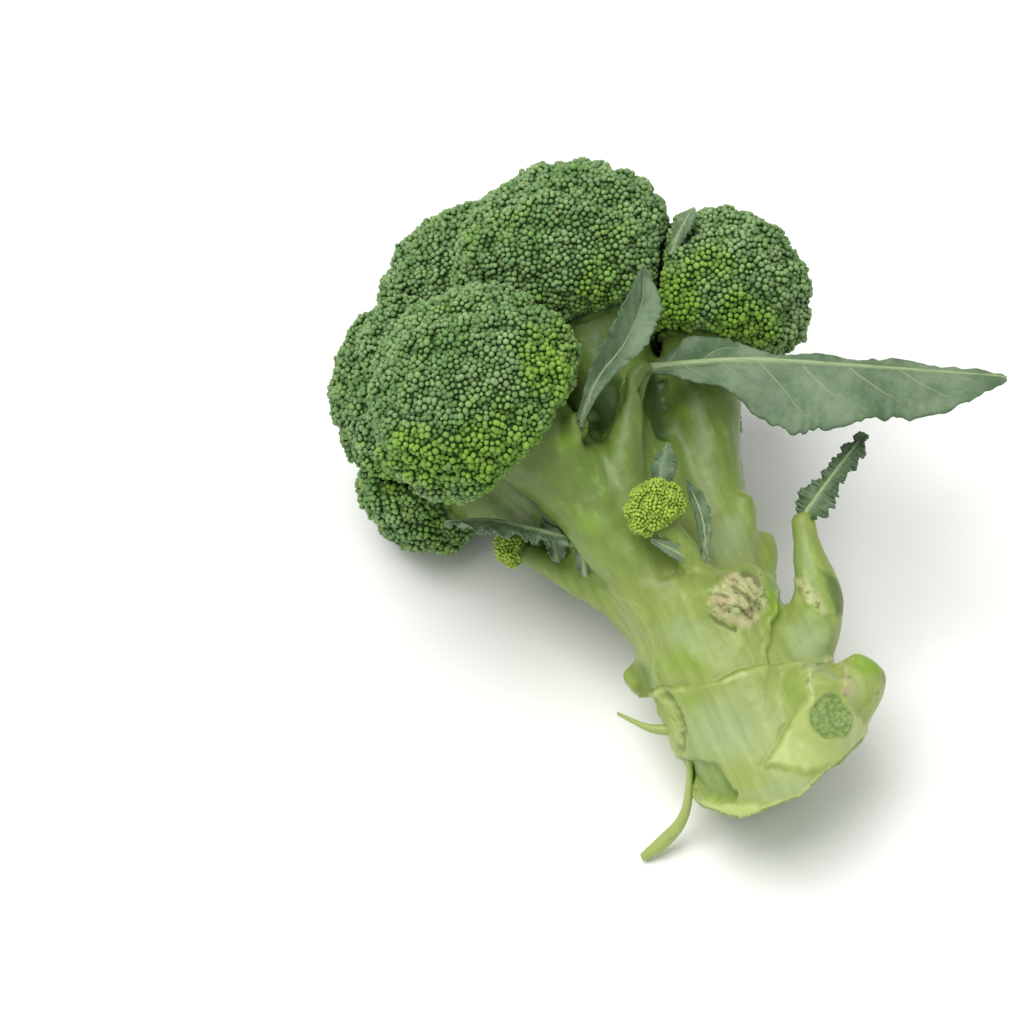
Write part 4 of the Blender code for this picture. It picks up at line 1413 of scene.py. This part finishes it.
def carve_scars(carver):
    """Roughens the dry scars and digs the hollows between the leaf stalks."""
    front = carver.region(FRONT_SCAR, 16.0)
    right, back, up = carver.points.T
    slanting = np.stack([right * 0.92 + up * 0.45, back, (right * 0.45 - up * 0.9) * 0.22], axis=1)
    folds = noise_at(slanting, 2.6, 3, 4.0)
    carver.raise_by(front, 0.4 + 1.3 * folds)
    low_folds = front * smooth_step((-0.42 - folds) / 0.25) * 0.6
    dark = np.maximum.reduce([low_folds, *(carver.stroke(*fold) for fold in SCAR_FOLDS)])
    carver.raise_by(dark, -0.7)
    carver.raise_by(carver.stroke(*SCAR_RIM), 0.7)
    frill = carver.region(FRILL_SCAR, 12.0)
    carver.raise_by(frill, 0.5 + 1.1 * folds)
    hollow = np.maximum(carver.region(INNER_HOLLOW, 12.0), carver.region(SIDE_HOLLOW, 10.0))
    carver.raise_by(hollow, -2.6)
    return front, frill, dark, hollow


def work_stalk(carver):
    """Carves the stalk's skin and gives the numbers that its material reads."""
    on_cut, above_cut = cut_face(carver.points, carver.normals)
    lumps = noise_at(carver.points, 13.0, 3) * 0.6 + noise_at(carver.points, 3.5, 2, 5.0) * 0.12
    carver.raise_by(1 - on_cut, lumps)
    height = np.clip((carver.points[:, 2] - 2) / 88, 0, 1)
    edges, shaded_creases = carve_plates(carver)
    wedge, face, ring = carve_wedge(carver)
    crescent, lip, torn, groove = carve_cut_end(carver)
    front, frill, dark, hollow = carve_scars(carver)
    left_knob = carver.oval(642, 672, 26, 20, -30, 0.8)
    margin = carver.region(FRILL_MARGIN, 14.0)
    wedge_skin = wedge * 0.75 * (1 - face)
    most = np.maximum.reduce
    return {
        "height": height,
        "vivid": most([carver.ovals(VIVID_OVALS), crescent * 0.6]),
        "waxy": most([carver.ovals(WAX_OVALS), carver.region(LOWER_WAX, 16.0) * 0.7]),
        # Mostly painted shade: the hollows, the joints' creases, the torn groove and the crescent; also
        # darker at the frill's margin and on the left knob
        "dusk": most([
            hollow, shaded_creases * 0.5, groove * 0.5, margin * 0.7,
            left_knob * 0.45, crescent * 0.4, carver.ovals(DUSK_OVALS),
        ]),
        # Pale marks: the cut's lip, the wedge's skin, torn fibres and pale ovals, and a painted highlight on
        # the plates' raised edges
        "pale": most([lip, edges * 0.8, wedge_skin, torn * 0.5, carver.ovals(PALE_OVALS)]),
        "raw": most([on_cut, face]),
        "rim": smooth_step((1.6 - above_cut) / 1.2) * (1 - on_cut),
        "scar": most([front, ring * 0.6, frill * 0.7, carver.ovals(SCAR_OVALS)]),
        "crack": most([
            dark, carver.stroke(*CRESCENT_CRACK) * 0.55, carver.stroke(*RING_CRACK) * 0.5,
        ]),
    }


def build_strips(settings):
    """The two torn strips of skin at the cut end."""
    finish = stalk_finish(settings)
    tubes = []
    for name, rows in STRIPS.items():
        rows = smooth_line(rows, 5)
        tube = tube_object(name, rows, 12)
        points = points_of(tube.data)
        nearest = np.linalg.norm(points[:, None] - rows[None, :, :3], axis=2).argmin(axis=1)
        foot = rows[nearest, :3]
        radial = foot * (1, 1, 0)
        radial /= np.linalg.norm(radial, axis=1, keepdims=True)
        depth = ((points - foot) * radial).sum(axis=1)
        put_points(tube.data, points - radial * (depth * 0.7)[:, None])
        tubes.append(tube)
    mesh = mesh_out_of(joined(tubes))
    points = points_of(mesh)
    put_points(mesh, laid(points))
    mesh.shade_smooth()
    for name in ("vivid", "waxy", "dusk", "raw", "rim", "scar", "crack"):
        paint(mesh, name, np.zeros(len(points)))
    paint(mesh, "height", np.full(len(points), 0.2))
    paint(mesh, "pale", np.full(len(points), 0.5))
    piece_from("torn_strips", mesh, finish, "stalk")


# Leaves

# The thickness in millimetres that a blade's wall can reach at its rib
RIB_THICKNESS = 2.6


def along_rib(rib, shares):
    """Points of a smooth line through the rib's points."""
    rows, padded = with_ends(rib)
    steps = np.minimum((shares * (len(rows) - 1)).astype(int), len(rows) - 2)
    t = (shares * (len(rows) - 1) - steps)[:, None]
    return between(*(padded[steps + k] for k in range(4)), t)


def build_leaf(name, leaf, settings, finish, seed, fineness, *nodes):
    """One blade: a grid bent along its rib, waved, veined and given a wall."""
    deselect()
    bpy.ops.mesh.primitive_grid_add(x_subdivisions=3 * fineness, y_subdivisions=fineness, size=2.0)
    blade = bpy.context.object
    grid = points_of(blade.data)
    share = (grid[:, 0] + 1) / 2
    reach = np.abs(grid[:, 1])
    rib_points, *halves, (wave_height, waves) = leaf
    near, far = (np.array(way) / np.linalg.norm(way) for way, _ in halves)
    lift = near + far
    if np.linalg.norm(lift) < 0.2:
        lift = np.cross(near, far)
    lift /= np.linalg.norm(lift)
    left = grid[:, 1] < 0
    widths = np.where(left, *(np.interp(share, np.linspace(0, 1, len(row)), row) for _, row in halves))
    ways = np.stack([share * 26, np.where(left, 3.0, 0.0) + seed, 0 * share], axis=1)
    ragged = noise_at(ways, 1.0, 2)
    widths = np.maximum(widths * (1 + 0.16 * ragged * reach), 0.15)
    wave = np.sin(TAU * waves * (share + 0.06 * ragged) + np.where(left, 2.1, 0)) * reach**2.4
    spots = along_rib(rib_points, share)
    spots = spots + np.where(left[:, None], near, far) * (reach * widths)[:, None]
    phase = share * 8 - reach * 1.5 * np.minimum(1, share * 3) + np.where(left, 0.0, 0.5)
    swelling = 0.5 - 0.5 * np.cos(TAU * phase)
    quilt = 0.32 * swelling * smooth_step(reach / 0.2) * np.minimum(1, widths / 9)
    rib = smooth_step(1 - reach * widths / np.maximum(1.5 * (1.1 - share), 0.3))
    lumps = noise_at(spots, 9.0, 3, seed) * 0.8 * reach
    spots = spots + lift * (wave * wave_height + quilt + lumps)[:, None]
    put_points(blade.data, spots)
    group = blade.vertex_groups.new(name="thickness")
    thick = settings.blade_thickness / MM
    thickness = np.clip(thick + rib * 2.0 * (1 - 0.8 * share), thick, np.maximum(widths, thick))
    for index, value in enumerate(thickness / RIB_THICKNESS):
        group.add([index], float(min(value, 1.0)), "REPLACE")
    edge = np.maximum(reach, share) * smooth_step(widths / 1.5)
    for mark, values in (("phase", phase), ("reach", reach), ("rib", rib), ("edge", edge)):
        paint(blade.data, mark, values)
    only(blade)
    bpy.ops.object.mode_set(mode="EDIT")
    bpy.ops.mesh.select_all(action="SELECT")
    bpy.ops.mesh.normals_make_consistent(inside=False)
    bpy.ops.object.mode_set(mode="OBJECT")
    apply(blade, "SOLIDIFY", thickness=RIB_THICKNESS, vertex_group="thickness", offset=0.0)
    mesh = mesh_out_of(blade)
    put_points(mesh, laid(points_of(mesh)))
    mesh.shade_smooth()
    piece_from(name + "_blade", mesh, finish, "leaf", *nodes)


def build_leaves(settings):
    """The six leaves and the scraps beside the shoots."""
    finish = leaf_finish(settings)
    for seed, (name, leaf) in enumerate(LEAVES.items()):
        build_leaf(name, leaf, settings, finish, seed * 7.0, 48, name)
    for seed, (name, leaf) in enumerate(LEAF_SCRAPS.items()):
        build_leaf(name, leaf, settings, finish, 60 + seed * 7.0, 20)


# Stage


def area_light(name, place, target, size, power, colour):
    """A soft square light that points at a target."""
    deselect()
    way = Vector(target) - Vector(place)
    bpy.ops.object.light_add(type="AREA", location=place, rotation=way.to_track_quat("-Z", "Y").to_euler())
    lamp = bpy.context.object
    lamp.name = name
    lamp.data.shape = "SQUARE"
    lamp.data.size = size
    lamp.data.energy = power
    lamp.data.color = colour


def build_stage(settings):
    """The camera at the photograph's angle, a pale floor and soft light."""
    deselect()
    aim = behind_pixel(PICTURE_SIDE / 2, PICTURE_SIDE / 2)
    forward = (aim - EYE).normalized()
    right = (PICTURE_RIGHT - forward * PICTURE_RIGHT.dot(forward)).normalized()
    up = right.cross(forward)
    turn = Matrix((right, up, -forward)).transposed()
    bpy.ops.object.camera_add()
    camera = bpy.context.object
    camera.matrix_world = Matrix.Translation(EYE) @ turn.to_4x4()
    camera.data.sensor_width = 36.0
    camera.data.lens = settings.lens
    bpy.context.scene.camera = camera
    deselect()
    bpy.ops.mesh.primitive_plane_add(size=6.0, location=(0, 0, 0))
    floor = bpy.context.object
    floor.name = "floor"
    floor.data.materials.append(floor_finish(settings))
    area_light("key_light", (-0.35, 0.05, 1.5), (0, 0, 0.03), 1.1, settings.key_power, (1.0, 0.99, 0.97))
    world = bpy.data.worlds.new("studio")
    world.use_nodes = True
    world.node_tree.nodes["Background"].inputs["Color"].default_value = (1.0, 1.0, 1.0, 1.0)
    world.node_tree.nodes["Background"].inputs["Strength"].default_value = settings.world_strength
    bpy.context.scene.world = world
    bpy.context.scene.view_settings.view_transform = "Standard"


# Add-on


def length(name, description, default):
    """A length property."""
    return bpy.props.FloatProperty(name=name, description=description, default=default, unit="LENGTH")


def colour(name, description, default):
    """A colour property."""
    return bpy.props.FloatVectorProperty(name=name, description=description, default=default, subtype="COLOR")


class BroccoliSettings(bpy.types.PropertyGroup):
    """Sizes and colours of the broccoli head."""

    bud_width: length("Bud Width", "How far apart the closed buds stand", 0.00142)
    shoot_bud_width: length("Shoot Bud Width", "How far apart the side shoots' buds stand", 0.0009)
    stalk_grain: length("Stalk Grain", "How fine the stalk's skin is meshed", 0.00095)
    blade_thickness: length("Blade Thickness", "How thick a leaf is beside its rib", 0.0006)
    bud_green: colour("Bud Green", "The sides of a bud", (0.14, 0.30, 0.058))
    bud_dark: colour("Dark Bud", "The darkest buds", (0.066, 0.17, 0.03))
    bud_blue: colour("Bluish Bud", "The bluish buds", (0.085, 0.215, 0.09))
    bud_brown: colour("Brownish Bud", "The few brownish buds", (0.17, 0.20, 0.05))
    # Partly the real bloom, partly a painted highlight on top of each bud
    bud_bloom_highlight: colour("Bud Bloom", "The dusty bloom on top of a bud", (0.31, 0.44, 0.21))
    # Painted shade: the colour of the gaps between buds, at their feet and on the core beneath them
    bud_gap_shade: colour("Bud Gap", "The gaps between buds", (0.022, 0.070, 0.005))
    young_green: colour("Young Buds", "Buds that the bloom doesn't cover", (0.17, 0.35, 0.022))
    # A painted highlight on the tips of young buds
    young_tip_highlight: colour("Young Tips", "The tips of young buds", (0.32, 0.50, 0.07))
    shoot_green: colour("Shoot Buds", "The buds of the small side shoots", (0.32, 0.47, 0.04))
    # A painted highlight on the tips of the side shoots' buds
    shoot_tip_highlight: colour("Shoot Tips", "The tips of the side shoots' buds", (0.48, 0.62, 0.10))
    # Painted shade: the same gap colour for the side shoots' buds
    shoot_gap_shade: colour("Shoot Gap", "The gaps between the side shoots' buds", (0.10, 0.20, 0.008))
    stalk_pale: colour("Pale Stalk", "The skin near the cut end", (0.31, 0.39, 0.10))
    stalk_mid: colour("Middle Stalk", "The skin near the fork", (0.255, 0.335, 0.07))
    branch_green: colour("Branches", "The skin of the branches", (0.148, 0.228, 0.046))
    stalk_vivid: colour("Vivid Patches", "Bright green patches of the skin", (0.21, 0.36, 0.035))
    stalk_wax: colour("Wax", "The whitish wax on the trunk", (0.32, 0.41, 0.20))
    # Also the painted highlight on the raised edges of the plates
    stalk_lip: colour("Lip", "The rim of the cut end and the edges of plates", (0.48, 0.57, 0.20))
    # Mostly painted shade: the colour of the hollows, creases and grooves
    stalk_dusk: colour("Shaded Skin", "The skin in hollows and at torn edges", (0.055, 0.11, 0.025))
    flesh_pale: colour("Pale Flesh", "Raw flesh where the stalk is cut", (0.42, 0.54, 0.20))
    flesh_dark: colour("Dark Flesh", "Pores of the raw flesh", (0.15, 0.26, 0.05))
    scar_pale: colour("Pale Scar", "A dry scar", (0.46, 0.49, 0.23))
    scar_pink: colour("Pinkish Scar", "Pinkish parts of a scar", (0.46, 0.38, 0.22))
    scar_dark: colour("Dark Scar", "The cracks of a scar", (0.11, 0.12, 0.03))
    leaf_green: colour("Leaf Green", "The blades", (0.125, 0.205, 0.095))
    leaf_dark: colour("Dark Leaf", "Dark parts of the blades", (0.06, 0.12, 0.05))
    leaf_bloom: colour("Leaf Bloom", "The dusty bloom on the blades", (0.235, 0.315, 0.215))
    leaf_vein: colour("Leaf Veins", "Side veins", (0.26, 0.345, 0.18))
    leaf_rib: colour("Leaf Rib", "The middle rib", (0.31, 0.41, 0.20))
    floor_colour: colour("Floor", "The pale floor", (0.95, 0.95, 0.945))
    lens: bpy.props.FloatProperty(
        name="Lens", description="The camera's lens", default=108.8, unit="CAMERA"
    )
    key_power: bpy.props.FloatProperty(
        name="Key Light", description="Power of the soft light", default=20.0
    )
    world_strength: bpy.props.FloatProperty(
        name="Room Light", description="Light from all round", default=0.62
    )


class BROCCOLI_OT_florets(bpy.types.Operator):
    """Covers the florets of the crown with buds"""

    bl_idname = "broccoli.florets"
    bl_label = "Florets"

    def execute(self, context):
        build_florets(context.scene.broccoli)
        return {"FINISHED"}


class BROCCOLI_OT_shoots(bpy.types.Operator):
    """Covers the heads of the small side shoots with young buds"""

    bl_idname = "broccoli.shoots"
    bl_label = "Side Shoots"

    def execute(self, context):
        build_shoots(context.scene.broccoli)
        return {"FINISHED"}


class BROCCOLI_OT_stalk(bpy.types.Operator):
    """Grows the stalk with its branches, stubs and scars"""

    bl_idname = "broccoli.stalk"
    bl_label = "Stalk"

    def execute(self, context):
        build_stalk(context.scene.broccoli)
        build_strips(context.scene.broccoli)
        return {"FINISHED"}


class BROCCOLI_OT_leaves(bpy.types.Operator):
    """Builds the leaves"""

    bl_idname = "broccoli.leaves"
    bl_label = "Leaves"

    def execute(self, context):
        build_leaves(context.scene.broccoli)
        return {"FINISHED"}


class BROCCOLI_OT_stage(bpy.types.Operator):
    """Sets the floor, the lights and the camera"""

    bl_idname = "broccoli.stage"
    bl_label = "Stage"

    def execute(self, context):
        build_stage(context.scene.broccoli)
        return {"FINISHED"}


class BROCCOLI_PT_panel(bpy.types.Panel):
    """Lists the pieces and the settings"""

    bl_label = "Broccoli Head"
    bl_space_type = "VIEW_3D"
    bl_region_type = "UI"
    bl_category = "Broccoli"

    def draw(self, context):
        for operator in OPERATORS:
            self.layout.operator(operator.bl_idname)
        for name in BroccoliSettings.__annotations__:
            self.layout.prop(context.scene.broccoli, name)


OPERATORS = (
    BROCCOLI_OT_stalk,
    BROCCOLI_OT_florets,
    BROCCOLI_OT_shoots,
    BROCCOLI_OT_leaves,
    BROCCOLI_OT_stage,
)
CLASSES = (BroccoliSettings, *OPERATORS, BROCCOLI_PT_panel)


def register():
    for made in CLASSES:
        bpy.utils.register_class(made)
    bpy.types.Scene.broccoli = bpy.props.PointerProperty(type=BroccoliSettings)


def unregister():
    del bpy.types.Scene.broccoli
    for made in reversed(CLASSES):
        bpy.utils.unregister_class(made)


def main():
    register()
    bpy.ops.broccoli.stalk()
    bpy.ops.broccoli.florets()
    bpy.ops.broccoli.shoots()
    bpy.ops.broccoli.leaves()
    bpy.ops.broccoli.stage()


if __name__ == "__main__":
    main()
